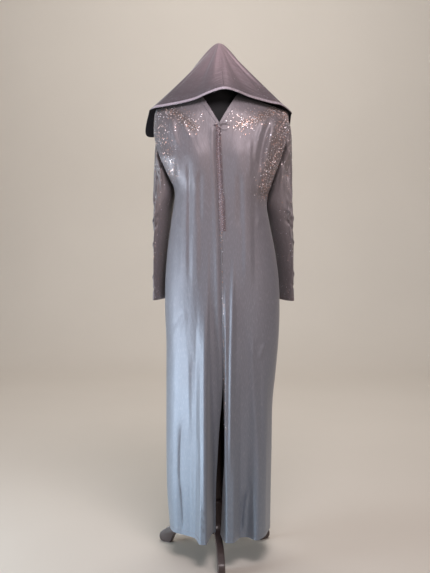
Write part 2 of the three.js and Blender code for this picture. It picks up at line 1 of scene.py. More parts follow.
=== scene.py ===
# %% [markdown]
# # An abaya on its dress form
#
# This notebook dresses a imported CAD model. The CAD holds the true size of every piece: four body
# panels, two sleeves, a hood, the bands and braid, a limbless dress form and its wooden stand.
# Here each cloth piece is made again from the same formulas with many more points, so that it can
# carry fine creases, and each gets its own finish. All lengths in the formulas are millimetres;
# they are turned to metres when a mesh is made.

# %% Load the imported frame
import math

import bpy
import numpy as np
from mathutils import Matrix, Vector


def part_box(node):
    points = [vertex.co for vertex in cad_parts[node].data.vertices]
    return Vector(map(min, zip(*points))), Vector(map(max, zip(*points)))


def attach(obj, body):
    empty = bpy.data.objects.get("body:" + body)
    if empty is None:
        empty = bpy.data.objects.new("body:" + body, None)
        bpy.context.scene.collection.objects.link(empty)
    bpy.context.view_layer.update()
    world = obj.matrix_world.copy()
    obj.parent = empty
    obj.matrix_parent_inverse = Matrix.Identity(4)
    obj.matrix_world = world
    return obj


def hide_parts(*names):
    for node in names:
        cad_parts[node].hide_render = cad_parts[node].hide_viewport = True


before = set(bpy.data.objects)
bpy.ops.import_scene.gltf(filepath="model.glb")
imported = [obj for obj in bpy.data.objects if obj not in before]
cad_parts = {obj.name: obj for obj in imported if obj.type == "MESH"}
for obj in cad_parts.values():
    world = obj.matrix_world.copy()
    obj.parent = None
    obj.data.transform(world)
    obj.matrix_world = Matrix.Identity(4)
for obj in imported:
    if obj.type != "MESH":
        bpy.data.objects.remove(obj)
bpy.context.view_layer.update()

# %% [markdown]
# ## Where the formulas stand
#
# The formulas measure from the upright axis of the form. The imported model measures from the
# middle of its own box, so the pole, whose place is known in both, gives the shift between them.

# %% Shift from the formulas' axis to the frame
MM = 0.001
STAND = dict(x=-7.0, y=8.0)
low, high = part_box("pole")
AXIS = np.array([(low.x + high.x) / 2 - STAND["x"] * MM, (low.y + high.y) / 2 - STAND["y"] * MM, 0])
print("the form's axis stands at", AXIS)

# %% [markdown]
# ## The camera and the light
#
# The camera stands level, a little above the waist, 3 m away, and its frame is shifted down to
# take in the stand. There are four soft lights: a cool key low at the left that rakes the folds of
# the skirt, a warm fill at the right, one over the shoulders, and one for the wall behind.

# %% Camera
EYE = dict(away=3.0, height=1.15, side=-0.0131)
FOCAL_PX, FRAME_PX, HORIZON_PX = 915.0, (430, 573), 200.2

camera = bpy.data.objects.new("camera", bpy.data.cameras.new("camera"))
bpy.context.scene.collection.objects.link(camera)
camera.location = (AXIS[0] + EYE["side"], AXIS[1] - EYE["away"], EYE["height"])
camera.rotation_euler = (math.pi / 2, 0, 0)
camera.data.sensor_width = 36.0
camera.data.lens = FOCAL_PX / FRAME_PX[1] * camera.data.sensor_width
camera.data.shift_y = -(FRAME_PX[1] / 2 - HORIZON_PX) / FRAME_PX[1]
bpy.context.scene.camera = camera


# %% Lights and backdrop
def area_light(name, place, target, size, watts, colour):
    light = bpy.data.lights.new(name, "AREA")
    light.shape, light.size, light.energy, light.color = "DISK", size, watts, colour
    lamp = bpy.data.objects.new(name, light)
    lamp.location = place
    lamp.rotation_euler = (Vector(target) - Vector(place)).to_track_quat("-Z", "Y").to_euler()
    bpy.context.scene.collection.objects.link(lamp)
    return lamp


area_light("key", (-1.9, -0.62, 0.15), (0, 0, 0.2), 1.0, 58, (0.74, 0.89, 1.0))
area_light("fill", (1.9, -3.0, 1.5), (0, 0, 1.0), 1.8, 22, (1.0, 0.87, 0.82))
area_light("top", (0.3, -1.6, 2.9), (0, 0, 1.35), 1.2, 40, (1.0, 0.91, 0.92))
area_light("wall", (0, 1.2, 3.6), (0, 4.4, 0.8), 2.0, 75, (1.0, 0.97, 0.94))

world = bpy.data.worlds.new("studio")
bpy.context.scene.world = world
world.use_nodes = True
world.node_tree.nodes["Background"].inputs["Color"].default_value = (0.80, 0.79, 0.78, 1)
world.node_tree.nodes["Background"].inputs["Strength"].default_value = 0.15
bpy.context.scene.view_settings.view_transform = "Standard"


def backdrop(name, half=6.0, back=4.4, bend=1.4, tall=6.0):
    """A floor that turns up into a wall behind, in one swept sheet."""
    line = [(-4.0, 0.0), (back - bend, 0.0)]
    line += [
        (back - bend + bend * math.sin(a), bend - bend * math.cos(a))
        for a in np.linspace(0, math.pi / 2, 13)[1:]
    ]
    line += [(back, tall)]
    points = [(x, y, z) for y, z in line for x in (-half, half)]
    faces = [(2 * i, 2 * i + 1, 2 * i + 3, 2 * i + 2) for i in range(len(line) - 1)]
    mesh = bpy.data.meshes.new(name)
    mesh.from_pydata(points, [], faces)
    mesh.shade_smooth()
    sheet = bpy.data.objects.new(name, mesh)
    bpy.context.scene.collection.objects.link(sheet)
    return sheet


floor = backdrop("floor")

# %% [markdown]
# ## Curves and grids
#
# Every cloth piece is a wall over a grid: its outer face is a formula of two places, and the
# inner face is the same points moved in along the normal. A table with a few rows says how big
# each section is, and a smooth curve through one of its columns gives the sizes in between.


# %% Small maths
def mix(a, b, t):
    return a + (b - a) * t


def ease(t):
    t = np.clip(t, 0, 1)
    return t * t * (3 - 2 * t)


def table(names, rows):
    """Named columns from rows of numbers."""
    return dict(zip(names.split(), np.array(rows, float).T))


def through(rows, column):
    """A smooth curve through one column of a table whose rows rise in z."""
    at, value = rows["z"], rows[column]
    slope = np.gradient(value)
    slope[1:-1] = (value[2:] - value[:-2]) / (at[2:] - at[:-2])
    slope[0] = (value[1] - value[0]) / (at[1] - at[0])
    slope[-1] = (value[-1] - value[-2]) / (at[-1] - at[-2])

    def curve(z):
        z = np.clip(z, at[0], at[-1])
        i = np.clip(np.searchsorted(at, z, side="right") - 1, 0, len(at) - 2)
        span = at[i + 1] - at[i]
        t = (z - at[i]) / span
        bend = ((1 - t) * slope[i] - t * slope[i + 1]) * span * t * (1 - t)
        return mix(value[i], value[i + 1], ease(t)) + bend

    return curve


def crown(distance, before, after):
    """1 on the crown of a fold, falling smoothly to 0 at its foot on either side."""
    reach = np.where(distance < 0, -distance / before, distance / after)
    return 1 - ease((reach - 0.25) / 0.75)


def beside_line(across, up, dx, dz):
    """Where places lie along a line, as a share of its length, and how far off it they lie."""
    length = math.hypot(dx, dz)
    return (across * dx + up * dz) / length**2, (across * dz - up * dx) / length


def tapered(along, share):
    """1 along a line, falling smoothly to 0 over a share of its length at each end."""
    return ease(along / share) * ease((1 - along) / share)


def ring_faces(rings, count):
    """The faces of a solid made of rings of points one after another, with its two ends."""
    pairs = [(i, (i + 1) % count) for i in range(count)]
    starts = [(row * count + i, row * count + j) for row in range(rings - 1) for i, j in pairs]
    faces = [(a, b, b + count, a + count) for a, b in starts]
    return faces + [tuple(range(count))[::-1], tuple(range((rings - 1) * count, rings * count))]


# %% A wall over a grid
def normals(surface, u, v, outward):
    small = 1e-4
    along_u = surface(u + small, v) - surface(u - small, v)
    along_v = surface(u, v + small) - surface(u, v - small)
    cross = np.cross(along_u, along_v)
    return outward * cross / np.maximum(np.linalg.norm(cross, axis=-1, keepdims=True), 1e-12)


def run(points, axis):
    """Length run along one direction of a grid of points, from its first row or column."""
    step = np.linalg.norm(np.diff(points, axis=axis), axis=-1)
    pad = [(0, 0), (0, 0)]
    pad[axis] = (1, 0)
    return np.cumsum(np.pad(step, pad), axis=axis)


def mesh_object(name, points, faces, uv=None, smooth_below=50):
    """A mesh object in the frame from points in millimetres round the form's axis."""
    mesh = bpy.data.meshes.new(name)
    mesh.from_pydata((points * MM + AXIS).tolist(), [], faces)
    if uv is not None:
        layer = mesh.uv_layers.new(name="cloth")
        corner = np.empty(len(mesh.loops), np.int32)
        mesh.loops.foreach_get("vertex_index", corner)
        layer.data.foreach_set("uv", (uv[corner] * MM).astype(np.float32).ravel())
    mesh.shade_smooth()
    mesh.set_sharp_from_angle(angle=math.radians(smooth_below))
    piece = bpy.data.objects.new(name, mesh)
    bpy.context.scene.collection.objects.link(piece)
    return piece


def wall(name, surface, us, vs, outward, thick, lift=0.0, closed=False, tip=False, keep=None):
    """A closed cloth wall over the places us by vs. `closed` joins its last column to its first,
    `tip` draws its first row to one point, and `keep` holds its points clear of the seams. Its
    inner faces take the piece's second material."""
    u, v = np.meshgrid(us, vs)
    place = surface(u, v)
    up = normals(surface, u, v, outward)
    if tip:
        up[0] = (0, 0, 1)
    rows, columns = u.shape
    outer, inner = place + up * lift, place + up * (lift - thick)
    points = np.concatenate([outer.reshape(-1, 3), inner.reshape(-1, 3)])
    if keep:
        points = keep(points)
    across, down = run(place, 1), run(place, 0)
    across = across - across[:, columns // 2][:, None]
    uv = np.tile(np.stack([across, down], -1).reshape(-1, 2), (2, 1))
    index = np.arange(2 * rows * columns).reshape(2, rows, columns)
    if tip:
        index[:, 0, :] = index[:, 0, :1]
    if closed:
        index = np.concatenate([index, index[:, :, :1]], axis=2)
    a, b, c, d = index[:, :-1, :-1], index[:, :-1, 1:], index[:, 1:, 1:], index[:, 1:, :-1]
    faces = np.stack([a, b, c, d], -1)
    quads = [faces[0].reshape(-1, 4), faces[1].reshape(-1, 4)[:, ::-1]]
    outside = len(quads[0])
    top, bottom = index[:, 0], index[:, -1]
    if not tip:
        quads.append(np.stack([top[0, :-1], top[1, :-1], top[1, 1:], top[0, 1:]], -1))
    quads.append(np.stack([bottom[0, 1:], bottom[1, 1:], bottom[1, :-1], bottom[0, :-1]], -1))
    if not closed:
        first, last = index[:, :, 0], index[:, :, -1]
        quads.append(np.stack([first[0, 1:], first[1, 1:], first[1, :-1], first[0, :-1]], -1))
        quads.append(np.stack([last[0, :-1], last[1, :-1], last[1, 1:], last[0, 1:]], -1))
    quads = np.concatenate(quads)
    if outward < 0:
        quads = quads[:, ::-1]
    faces = [tuple(dict.fromkeys(q)) for q in quads.tolist()] if tip else quads.tolist()
    if tip or closed:
        used = np.unique(np.concatenate([np.array(f) for f in faces]))
        slot = np.full(len(points), -1)
        slot[used] = np.arange(len(used))
        points, uv = points[used], uv[used]
        faces = [tuple(slot[list(f)]) for f in faces]
    piece = mesh_object(name, points, faces, uv)
    number = np.zeros(len(faces), np.int32)
    number[outside : 2 * outside] = 1
    piece.data.polygons.foreach_set("material_index", number)
    return piece


# %% [markdown]
# ## The body of the abaya
#
# The body hangs in four panels: two fronts that meet at the opening, and two backs. Each level
# section is a rounded box whose reach and depth come from the table, and the skirt's folds are
# troughs and ridges that grow towards the hem. Real satin hangs in few large folds with sharp
# little creases between them, so small creases are laid on after the large ones.

# %% Sizes of the garment
CLOTH, TRIM, SEAM, CAD_CLOTH = 1.2, 1.2, 0.3, 1.8
HEM, PEAK, UNDERARM, V_POINT = 86.0, 1665.0, 1140.0, 1396.0
NECK_SIDE = dict(x=62.0, z=1500.0)
SHOULDER_FALL, SHOULDER_ROUND, BACK_NECK_DIP = 0.37, 82.0, 12.0
BOX = 2.5
RIGHT, LEFT, FRONT, BACK = -1, 1, -1, 1

BODY = table(
    "z right left front back",
    [
        (86, 160, 167, 119, 142),
        (200, 169, 169, 119, 140),
        (347, 172, 172, 119, 136),
        (495, 172, 175, 121, 130),
        (593, 172, 185, 123, 126),
        (692, 172, 194, 125, 123),
        (790, 176, 198, 126, 121),
        (889, 176, 195, 125, 119),
        (987, 169, 182, 122, 114),
        (1085, 156, 163, 119, 108),
        (1134, 149, 156, 118, 105),
        (1183, 146, 163, 118, 103),
        (1249, 173, 186, 119, 103),
        (1298, 194, 203, 117, 103),
        (1357, 212, 220, 110, 100),
        (1400, 213, 227, 101, 95),
        (1430, 211, 227, 93, 90),
        (1450, 206, 221, 86, 84),
        (1500, 204, 218, 72, 74),
    ],
)
REACH = {RIGHT: through(BODY, "right"), LEFT: through(BODY, "left")}
DEPTH = {FRONT: through(BODY, "front"), BACK: through(BODY, "back")}

ARMHOLE_TOP = {RIGHT: 1366.0, LEFT: 1428.0}
ARMHOLE_FOOT = {RIGHT: 1182.0, LEFT: 1146.0}
ARMHOLE_CUT, ROLL, ROLL_CLEAR, ROLL_SHARE = 0.2, 9.0, 1.2, 0.975
ARMHOLE_EASE = dict(top=84.0, foot=44.0)  # over how much height it starts and ends


def by_side(side, values):
    """The value of each point's own side."""
    return np.where(side < 0, values[RIGHT], values[LEFT])


def armhole_bite(side, z):
    top, foot = by_side(side, ARMHOLE_TOP), by_side(side, ARMHOLE_FOOT)
    return ease((top - z) / ARMHOLE_EASE["top"]) * ease((z - foot) / ARMHOLE_EASE["foot"])


def edge_turn(side, z):
    return 1 - ARMHOLE_CUT * armhole_bite(side, z)


def spread(side, face, z):
    """The half width of a section that meets its reach where it is cut back."""
    wide = np.where(side < 0, REACH[RIGHT](z), REACH[LEFT](z))
    slant = 1 / np.tan(edge_turn(side, z) * math.pi / 2)
    return (wide**-BOX - np.maximum(0, slant / DEPTH[face](z)) ** BOX) ** (-1 / BOX)


# %% The large folds
# Each stands at x at the hem and leans as it rises. It starts at one height and is full at another;
# a short one fades away again, and 0 stands for those that reach the hem.
FOLD_NAMES = "face x lean before after out start full fade"
FOLDS = [
    dict(zip(FOLD_NAMES.split(), row))
    for row in [
        (FRONT, -52, 4, 25, 36, 46, 880, HEM, 0),
        (FRONT, -5, 20, 38, 17, -50, 700, HEM, 0),
        (FRONT, 32, 4, 30, 38, 44, 960, HEM, 0),
        (FRONT, -44, 4, 108, 14, 15, 1060, 500, 0),
        (FRONT, 140, 10, 58, 25, 52, 640, HEM, 0),
        (FRONT, -104, 0, 44, 38, -14, 820, HEM, 0),
        (FRONT, -112, 0, 20, 20, 5, 1290, 1150, 860),
        (FRONT, -78, 0, 18, 22, 5, 1290, 1140, 860),
        (FRONT, 92, 0, 24, 22, 5, 1290, 1130, 860),
        (BACK, -118, 10, 34, 30, 22, 1000, HEM, 0),
        (BACK, -66, 6, 26, 30, -30, 900, HEM, 0),
        (BACK, -20, 4, 30, 34, 34, 1060, HEM, 0),
        (BACK, 34, 0, 30, 26, -32, 860, HEM, 0),
        (BACK, 84, -6, 34, 38, 30, 980, HEM, 0),
    ]
]
BUST = dict(x=70.0, z=1284.0, out=15.0, across=50.0, above=62.0, below=190.0)


def fold_out(face, x, z):
    out = np.zeros(np.broadcast(x, z).shape)
    for fold in FOLDS:
        if fold["face"] != face:
            continue
        grown = np.clip((fold["start"] - z) / (fold["start"] - fold["full"]), 0, 1) ** 1.2
        middle = fold["x"] + fold["lean"] * (z - HEM) / 1000
        left = ease((z - fold["fade"]) / 120) if fold["fade"] else 1
        out += fold["out"] * grown * left * crown(x - middle, fold["before"], fold["after"])
    return out


def bust_out(x, z):
    high = z - BUST["z"]
    tall = np.exp(-((high / np.where(high > 0, BUST["above"], BUST["below"])) ** 2))
    wide = np.exp(-(((np.abs(x) - BUST["x"]) / BUST["across"]) ** 2))
    return BUST["out"] * tall * wide


# %% [markdown]
# ### Small creases
#
# A crease is a short soft ridge or trough between two places on a panel. It fades out at both of
# its ends, so it never cuts the cloth. `bow` bends it sideways, as cloth under its own weight does.

# %% The small creases
CREASE_NAMES = "face x0 z0 x1 z1 bow wide out"
CREASES = [
    dict(zip(CREASE_NAMES.split(), row))
    for row in [
        # skirt of the right panel: the long bright fold, its valley and the creases beside it
        (FRONT, -46, 860, -47, 90, 0, 8, 6.0),
        (FRONT, -25, 700, -27, 90, 0, 9, -7.0),
        (FRONT, -66, 440, -67, 90, -2, 4, -6.0),
        (FRONT, -76, 430, -77, 100, 2, 6, 3.0),
        (FRONT, -118, 450, -122, 225, 3, 5.5, -3.6),
        (FRONT, -123, 260, -112, 95, -2, 4.5, -4.0),
        (FRONT, -64, 196, -44, 180, 2, 3.5, 3.0),
        (FRONT, -64, 170, -46, 152, 2, 3.5, 2.8),
        (FRONT, -62, 142, -46, 126, 2, 3.5, 2.6),
        (FRONT, -152, 742, -116, 806, 4, 6, -1.4),
        (FRONT, -150, 716, -102, 804, 5, 8, 1.2),
        (FRONT, -96, 700, -88, 330, 5, 10, 3.0),
        # skirt of the left panel
        (FRONT, 20, 900, 19, 210, 0, 5, 5.5),
        (FRONT, 46, 1000, 33, 230, 2, 6, 6.0),
        (FRONT, 60, 880, 50, 300, 3, 8, -4.0),
        (FRONT, 84, 250, 68, 92, 3, 4, -5.0),
        (FRONT, 93, 250, 80, 95, 3, 5, 3.5),
        (FRONT, 18, 190, 36, 168, 2, 3.5, 2.6),
        (FRONT, 18, 172, 34, 146, 2, 3.5, 2.4),
        (FRONT, 20, 150, 34, 122, 2, 3.5, 2.2),
        (FRONT, 106, 760, 118, 380, 5, 10, 3.5),
        (FRONT, 132, 640, 140, 260, 4, 9, -4.0),
        (FRONT, 150, 700, 128, 640, 4, 7, 3.0),
        # bodice: the drape from the bust and from both shoulders
        (FRONT, -130, 1320, -126, 1080, 3, 9, 4.0),
        (FRONT, -146, 1300, -140, 1150, 2, 9, -3.5),
        (FRONT, -98, 1300, -96, 1020, -4, 9, -4.0),
        (FRONT, -58, 1262, -64, 1060, 3, 10, -4.0),
        (FRONT, -150, 1420, -128, 1310, 6, 9, 4.5),
        (FRONT, -120, 1410, -84, 1340, 5, 8, 3.0),
        (FRONT, 188, 1420, 142, 1215, 8, 10, 7.0),
        (FRONT, 168, 1420, 124, 1235, 8, 8, -6.0),
        (FRONT, 148, 1410, 112, 1260, 8, 8, 4.5),
        (FRONT, 132, 1270, 128, 1060, 3, 9, 3.0),
        (FRONT, 100, 1345, 97, 1215, 2, 8, 3.5),
        (FRONT, 60, 1255, 62, 1050, -3, 9, -4.0),
        (FRONT, 150, 1120, 120, 1060, 5, 7, 3.0),
        (FRONT, -144, 1110, -116, 1050, 5, 7, 3.0),
        # the pucker of the closure
        (FRONT, -4, 1390, 30, 1397, -2, 3.5, 2.4),
        (FRONT, -4, 1384, 36, 1386, -2, 3, -2.0),
        (FRONT, -4, 1379, 30, 1376, 2, 3.5, 2.0),
        # back
        (BACK, -30, 1300, -46, 980, 4, 12, 3.5),
        (BACK, 52, 1260, 60, 900, -4, 12, 3.5),
        (BACK, -150, 1400, -118, 1220, 8, 10, 5.0),
        (BACK, 160, 1400, 122, 1220, 8, 10, 5.0),
        (BACK, -90, 720, -86, 300, 3, 7, 4.0),
        (BACK, 112, 640, 104, 200, 2, 7, 4.0),
        (BACK, -34, 420, -30, 95, 2, 5, -4.5),
        (BACK, 60, 460, 58, 95, 2, 5, -4.5),
        (BACK, 140, 560, 132, 240, 4, 8, 3.0),
        (BACK, -140, 470, -128, 130, 4, 6, -4.0),
    ]
]


# %% How far the cloth stands out of its plain shape
# The sewn part of the opening: where it starts and ends, how deep its two edges draw in, and the low
# ridge that runs beside them on the wearer's right.
SEWN = dict(foot=470.0, grown=590.0, top=1392.0, soft=30.0)
SEWN_DIP = dict(deep=3.2, wide=4.5)
SEWN_RIDGE = dict(high=2.2, wide=7.0, beside=11.0)


def crease_out(face, x, z):
    out = np.zeros(np.broadcast(x, z).shape)
    for c in CREASES:
        if c["face"] != face:
            continue
        dx, dz = c["x1"] - c["x0"], c["z1"] - c["z0"]
        along, off = beside_line(x - c["x0"], z - c["z0"], dx, dz)
        off = off - c["bow"] * np.sin(math.pi * np.clip(along, 0, 1))
        out += c["out"] * tapered(along, 0.25) * np.exp(-((off / c["wide"]) ** 2))
    out = out + wander(x, z, face)
    if face == FRONT:
        off = x - EDGE[LEFT](z)
        sewn = ease((z - SEWN["foot"]) / (SEWN["grown"] - SEWN["foot"]))
        sewn = sewn * ease((SEWN["top"] - z) / SEWN["soft"])
        ridge = SEWN_RIDGE["high"] * np.exp(-(((off + SEWN_RIDGE["beside"]) / SEWN_RIDGE["wide"]) ** 2))
        out += sewn * (ridge - SEWN_DIP["deep"] * np.exp(-((off / SEWN_DIP["wide"]) ** 2)))
    return out


WAVES = np.random.default_rng(11).uniform(-1, 1, (14, 4))
WAVE_ACROSS, WAVE_UP, WAVE_OUT = 0.11, 0.012, 0.26


def wander(x, z, shift):
    """The slight unevenness of hanging cloth: a few long waves that never repeat together."""
    out = np.zeros(np.broadcast(x, z).shape)
    for across, along, start, size in WAVES:
        out += size * np.sin(x * across * WAVE_ACROSS + z * along * WAVE_UP + 9 * start + 3 * shift)
    return WAVE_OUT * out


def shoulder_height(x):
    return NECK_SIDE["z"] - SHOULDER_FALL * (np.abs(x) - NECK_SIDE["x"])


# %% A point of the body
def body_point(face, turn, z):
    """`turn` is -1 at the wearer's right side seam, 0 in the middle and 1 at the left one."""
    side = np.where(turn < 0, RIGHT, LEFT)
    angle = np.abs(turn) * math.pi / 2
    wide, deep = spread(side, face, z), DEPTH[face](z)
    across, ahead = (np.sin(angle) / wide) ** BOX, (np.abs(np.cos(angle)) / deep) ** BOX
    radius = (across + ahead) ** (-1 / BOX)
    x = side * radius * np.sin(angle)
    flat = 1 - (np.abs(x) / wide) ** 6
    extra = fold_out(face, x, z) + crease_out(face, x, z)
    if face == FRONT:
        extra = extra + bust_out(x, z)
    below = np.clip((shoulder_height(x) - z) / SHOULDER_ROUND, 0, 1)
    over = np.sqrt(1 - (1 - below) ** 2)
    depth = (radius * np.cos(angle) + extra * flat) * over
    return np.stack(np.broadcast_arrays(x, face * (SEAM / 2 + depth), z), -1)


def turn_of(face, x, z):
    side = np.where(x < 0, RIGHT, LEFT)
    wide, deep = spread(side, face, z), DEPTH[face](z)
    y = deep * (1 - np.clip(np.abs(x) / wide, 0, 1) ** BOX) ** (1 / BOX)
    return side * np.arctan2(np.abs(x), y) / (math.pi / 2)


# %% [markdown]
# ## The sleeves
#
# Each sleeve is a flat tube that hangs straight down from the dropped armhole. Its section is an
# ellipse sheared so that its back edge swings in behind the body, as an empty sleeve does.

# %% A point of a sleeve
SLEEVES = {
    RIGHT: table(
        "z out thin wide behind swing",
        [
            (826, 215, 13, 60, 22, 0.3),
            (880, 214, 13, 62, 22, 0.3),
            (980, 213, 15, 65, 21, 0.3),
            (1080, 212, 20, 65, 18, 0.3),
            (1160, 212, 25, 58, 12, 0.26),
            (1240, 212, 27, 42, -2, 0.04),
            (1310, 210, 27, 41, 0, 0),
            (1370, 204, 20, 24, 0, 0),
        ],
    ),
    LEFT: table(
        "z out thin wide behind swing",
        [
            (824, 244, 18, 60, 20, 0.3),
            (880, 243, 18, 62, 20, 0.3),
            (980, 242, 23, 65, 19, 0.3),
            (1080, 240, 32, 65, 16, 0.3),
            (1160, 239, 36, 54, 9, 0.26),
            (1240, 239, 38, 44, 1, 0.06),
            (1330, 239, 33, 41, 0, 0),
            (1390, 234, 24, 28, 0, 0),
            (1430, 218, 14, 12, 0, 0),
        ],
    ),
}
SLEEVE_TOP = {RIGHT: 1361.0, LEFT: 1424.0}
SLEEVE_LAP = 16.0
COLUMNS = ("out", "thin", "wide", "behind", "swing")
SLEEVE = {side: {c: through(SLEEVES[side], c) for c in COLUMNS} for side in (RIGHT, LEFT)}


def sleeve_section(side, z):
    out, thin, wide, behind, swing = (SLEEVE[side][c](z) for c in COLUMNS)
    half = np.hypot(thin, swing * wide)
    return out - half, half, thin, swing * wide, wide, behind


def sleeve_point(side, turn, z):
    """`turn` is 0 at the sleeve's front, 0.25 at its outside, and so on."""
    middle, _, thin, swung, wide, behind = sleeve_section(side, z)
    angle = turn * 2 * math.pi
    x = side * (middle + thin * np.sin(angle) + swung * np.cos(angle))
    return np.stack(np.broadcast_arrays(x, behind - wide * np.cos(angle), z), -1)


def sleeve_face(side, face, x, z):
    """How far before or behind the middle a sleeve's face stands at a distance x."""
    middle, half, thin, swung, wide, behind = sleeve_section(side, z)
    across = np.arcsin(np.clip((np.abs(x) - middle) / half, -0.3, 0.9))
    angle = (across if face == FRONT else math.pi - across) - np.arctan2(swung, thin)
    return behind - wide * np.cos(angle)


def sleeve_head(side, turn):
    """The height of a sleeve's head, where it has passed under the edge of the shoulder."""
    low = np.full(np.shape(turn), ARMHOLE_FOOT[side])
    high = np.full(np.shape(turn), SLEEVE_TOP[side])
    for _ in range(20):
        z = (low + high) / 2
        outside = np.abs(sleeve_point(side, turn, z)[..., 0]) > REACH[side](z)
        low, high = np.where(outside, z, low), np.where(outside, high, z)
    return np.minimum(high + SLEEVE_LAP, SLEEVE_TOP[side])


# Creases of a sleeve, from one turn and height to another. They sit lower on the wearer's left.
SLEEVE_CREASES = table(
    "turn0 z0 turn1 z1 wide out",
    [
        (-0.06, 1120, 0.24, 1060, 7, 5.0),
        (-0.08, 1080, 0.20, 1032, 6, -5.0),
        (-0.02, 1020, 0.26, 985, 6, 4.0),
        (-0.10, 940, 0.14, 990, 6, -4.0),
        (0.02, 912, 0.26, 872, 6, 3.5),
        (-0.06, 872, 0.18, 850, 5, -3.5),
        (0.04, 1290, 0.02, 846, 6, 4.0),
        (0.13, 1210, 0.16, 900, 8, 3.0),
        (0.08, 1200, 0.09, 1010, 6, -4.0),
        (0.00, 1345, 0.20, 1230, 8, 5.0),
        (-0.05, 1290, 0.16, 1190, 7, -5.0),
        (0.14, 1340, -0.08, 1160, 6, 5.0),
        (0.20, 1320, 0.00, 1120, 6, -5.0),
        (0.24, 1280, 0.06, 1090, 6, 4.5),
        (0.20, 1200, 0.02, 1030, 6, -4.0),
        (0.30, 1300, 0.34, 860, 10, 3.5),
        (0.44, 1110, 0.28, 1050, 7, 4.0),
        (0.46, 960, 0.30, 1005, 6, -4.0),
        (0.44, 885, 0.30, 850, 6, 3.0),
    ],
)
ROUND_SLEEVE = 265.0  # how far it is round a sleeve
LOWER_LEFT = 12
SHADE_GAP, SHADE_REACH = 9.0, 12.0  # how far its faces fall away beside the shoulder, over what width
SLEEVE_DEPTH = 1.5  # how much fuller the creases are made than the table says
ARM_FILL = 9.0  # how far the sleeve swells towards the waist just below the armhole


def sleeve_relief(side, turn, z):
    """How far a sleeve's face stands out, by the creases that cross it."""
    out = np.zeros(np.shape(turn))
    near = (turn + 0.25) % 1 - 0.25
    for t0, z0, t1, z1, wide, high in zip(*SLEEVE_CREASES.values()):
        ds, dz = (t1 - t0) * ROUND_SLEEVE, z1 - z0
        s, h = (near - t0) * ROUND_SLEEVE, z - z0 - (LOWER_LEFT if side == LEFT else 0)
        along, off = beside_line(s, h, ds, dz)
        out += SLEEVE_DEPTH * high * tapered(along, 0.3) * np.exp(-((off / wide) ** 2))
    return out + 0.8 * wander(near * ROUND_SLEEVE, z, side)


def sleeve_surface(side):
    cuff = SLEEVES[side]["z"][0]

    def surface(turn, v):
        z = mix(sleeve_head(side, turn), cuff, v)
        point = sleeve_point(side, turn, z)
        angle = turn * 2 * math.pi
        outer = ease(np.sin(angle) + 0.7) * (1 - 0.75 * ease(np.sin(angle) * 1.6 - 0.6))
        relief = sleeve_relief(side, turn, z) * outer * ease(v / 0.1) * ease((1 - v) / 0.03)
        relief += ARM_FILL * np.exp(-(((z - ARMHOLE_FOOT[side] + 4) / 40) ** 2)) * ease(-np.sin(angle))
        point[..., 0] += side * np.sin(angle) * relief
        point[..., 1] -= np.cos(angle) * relief
        beside = ease((REACH[side](z) + SHADE_REACH - side * point[..., 0]) / SHADE_REACH)
        above = ease((z - ARMHOLE_FOOT[side] + 50) / 60) * ease((ARMHOLE_TOP[side] - 20 - z) / 90)
        point[..., 1] += np.cos(angle) * SHADE_GAP * beside * above
        return point

    return surface


def sleeve(name, side):
    us = np.linspace(0, 1, 97)[:-1]
    vs = np.linspace(0, 1, 201)
    return wall(name, sleeve_surface(side), us, vs, -side, CLOTH, closed=True)


# %% [markdown]
# ## The panels

# %% Edges and rows of the panels
FRONT_EDGE = table(
    "z right left",
    [
        (86, -11, 4),
        (130, -11, 7),
        (240, -10, 11),
        (330, -5, 15.5),
        (420, 0, 16),
        (520, 8, 14.5),
        (620, 11.5, 12.5),
        (790, 7, 7 + SEAM),
        (1000, 2, 2 + SEAM),
        (1150, -3, -3 + SEAM),
        (1300, -10, -10 + SEAM),
        (1400, -11, -11 + SEAM),
    ],
)
EDGE = {RIGHT: through(FRONT_EDGE, "right"), LEFT: through(FRONT_EDGE, "left")}


def side_turn(side, z):
    return side * (edge_turn(side, z) - 0.0006)


HUG = 3  # how much sooner the edge lies against the sleeve than the armhole reaches its full depth


def rolled(face, side, share, z, start):
    """A point of a panel, which near its armhole rolls back in onto the sleeve."""
    hug = np.minimum(1, HUG * armhole_bite(side, z))
    across = mix(share, np.minimum(share / ROLL_SHARE, 1), hug)
    flat = body_point(face, mix(start, side_turn(side, z), across), z)
    roll = hug * np.clip((share - ROLL_SHARE) / (1 - ROLL_SHARE), 0, 1)
    x = flat[..., 0] - side * ROLL * roll
    rest = sleeve_face(side, face, x, z) + face * (CAD_CLOTH + ROLL_CLEAR)
    y = mix(flat[..., 1], face * np.maximum(face * rest, 0), roll)
    return np.stack([x, y, flat[..., 2]], -1)


def top_height(face, x):
    inside = np.abs(x) / NECK_SIDE["x"]
    if face == BACK:
        neck = NECK_SIDE["z"] - BACK_NECK_DIP * (1 - inside**2)
    else:
        neck = mix(V_POINT, NECK_SIDE["z"], inside)
    return np.where(inside >= 1, shoulder_height(x), neck)


def start_turn(face, side, z):
    """The turn of a panel's inner edge: the front opening, or the seam down the back."""
    return turn_of(face, EDGE[side](z) if face == FRONT else side * SEAM / 2 + 0 * z, z)


def top_of(face, side, share):
    z = np.full(np.shape(share), V_POINT)
    for _ in range(6):
        turn = mix(start_turn(face, side, z), side_turn(side, z), share)
        z = top_height(face, body_point(face, turn, z)[..., 0])
    return z


def panel_surface(face, side):
    """share runs from the front edge or the middle of the back to the side, v from 0 at the top
    edge through 1 at the underarm to 2 at the hem."""

    def surface(share, v):
        top = top_of(face, side, share)
        z = np.where(v < 1, mix(top, UNDERARM, v), mix(UNDERARM, HEM, v - 1))
        return rolled(face, side, share, z, start_turn(face, side, z))

    return surface


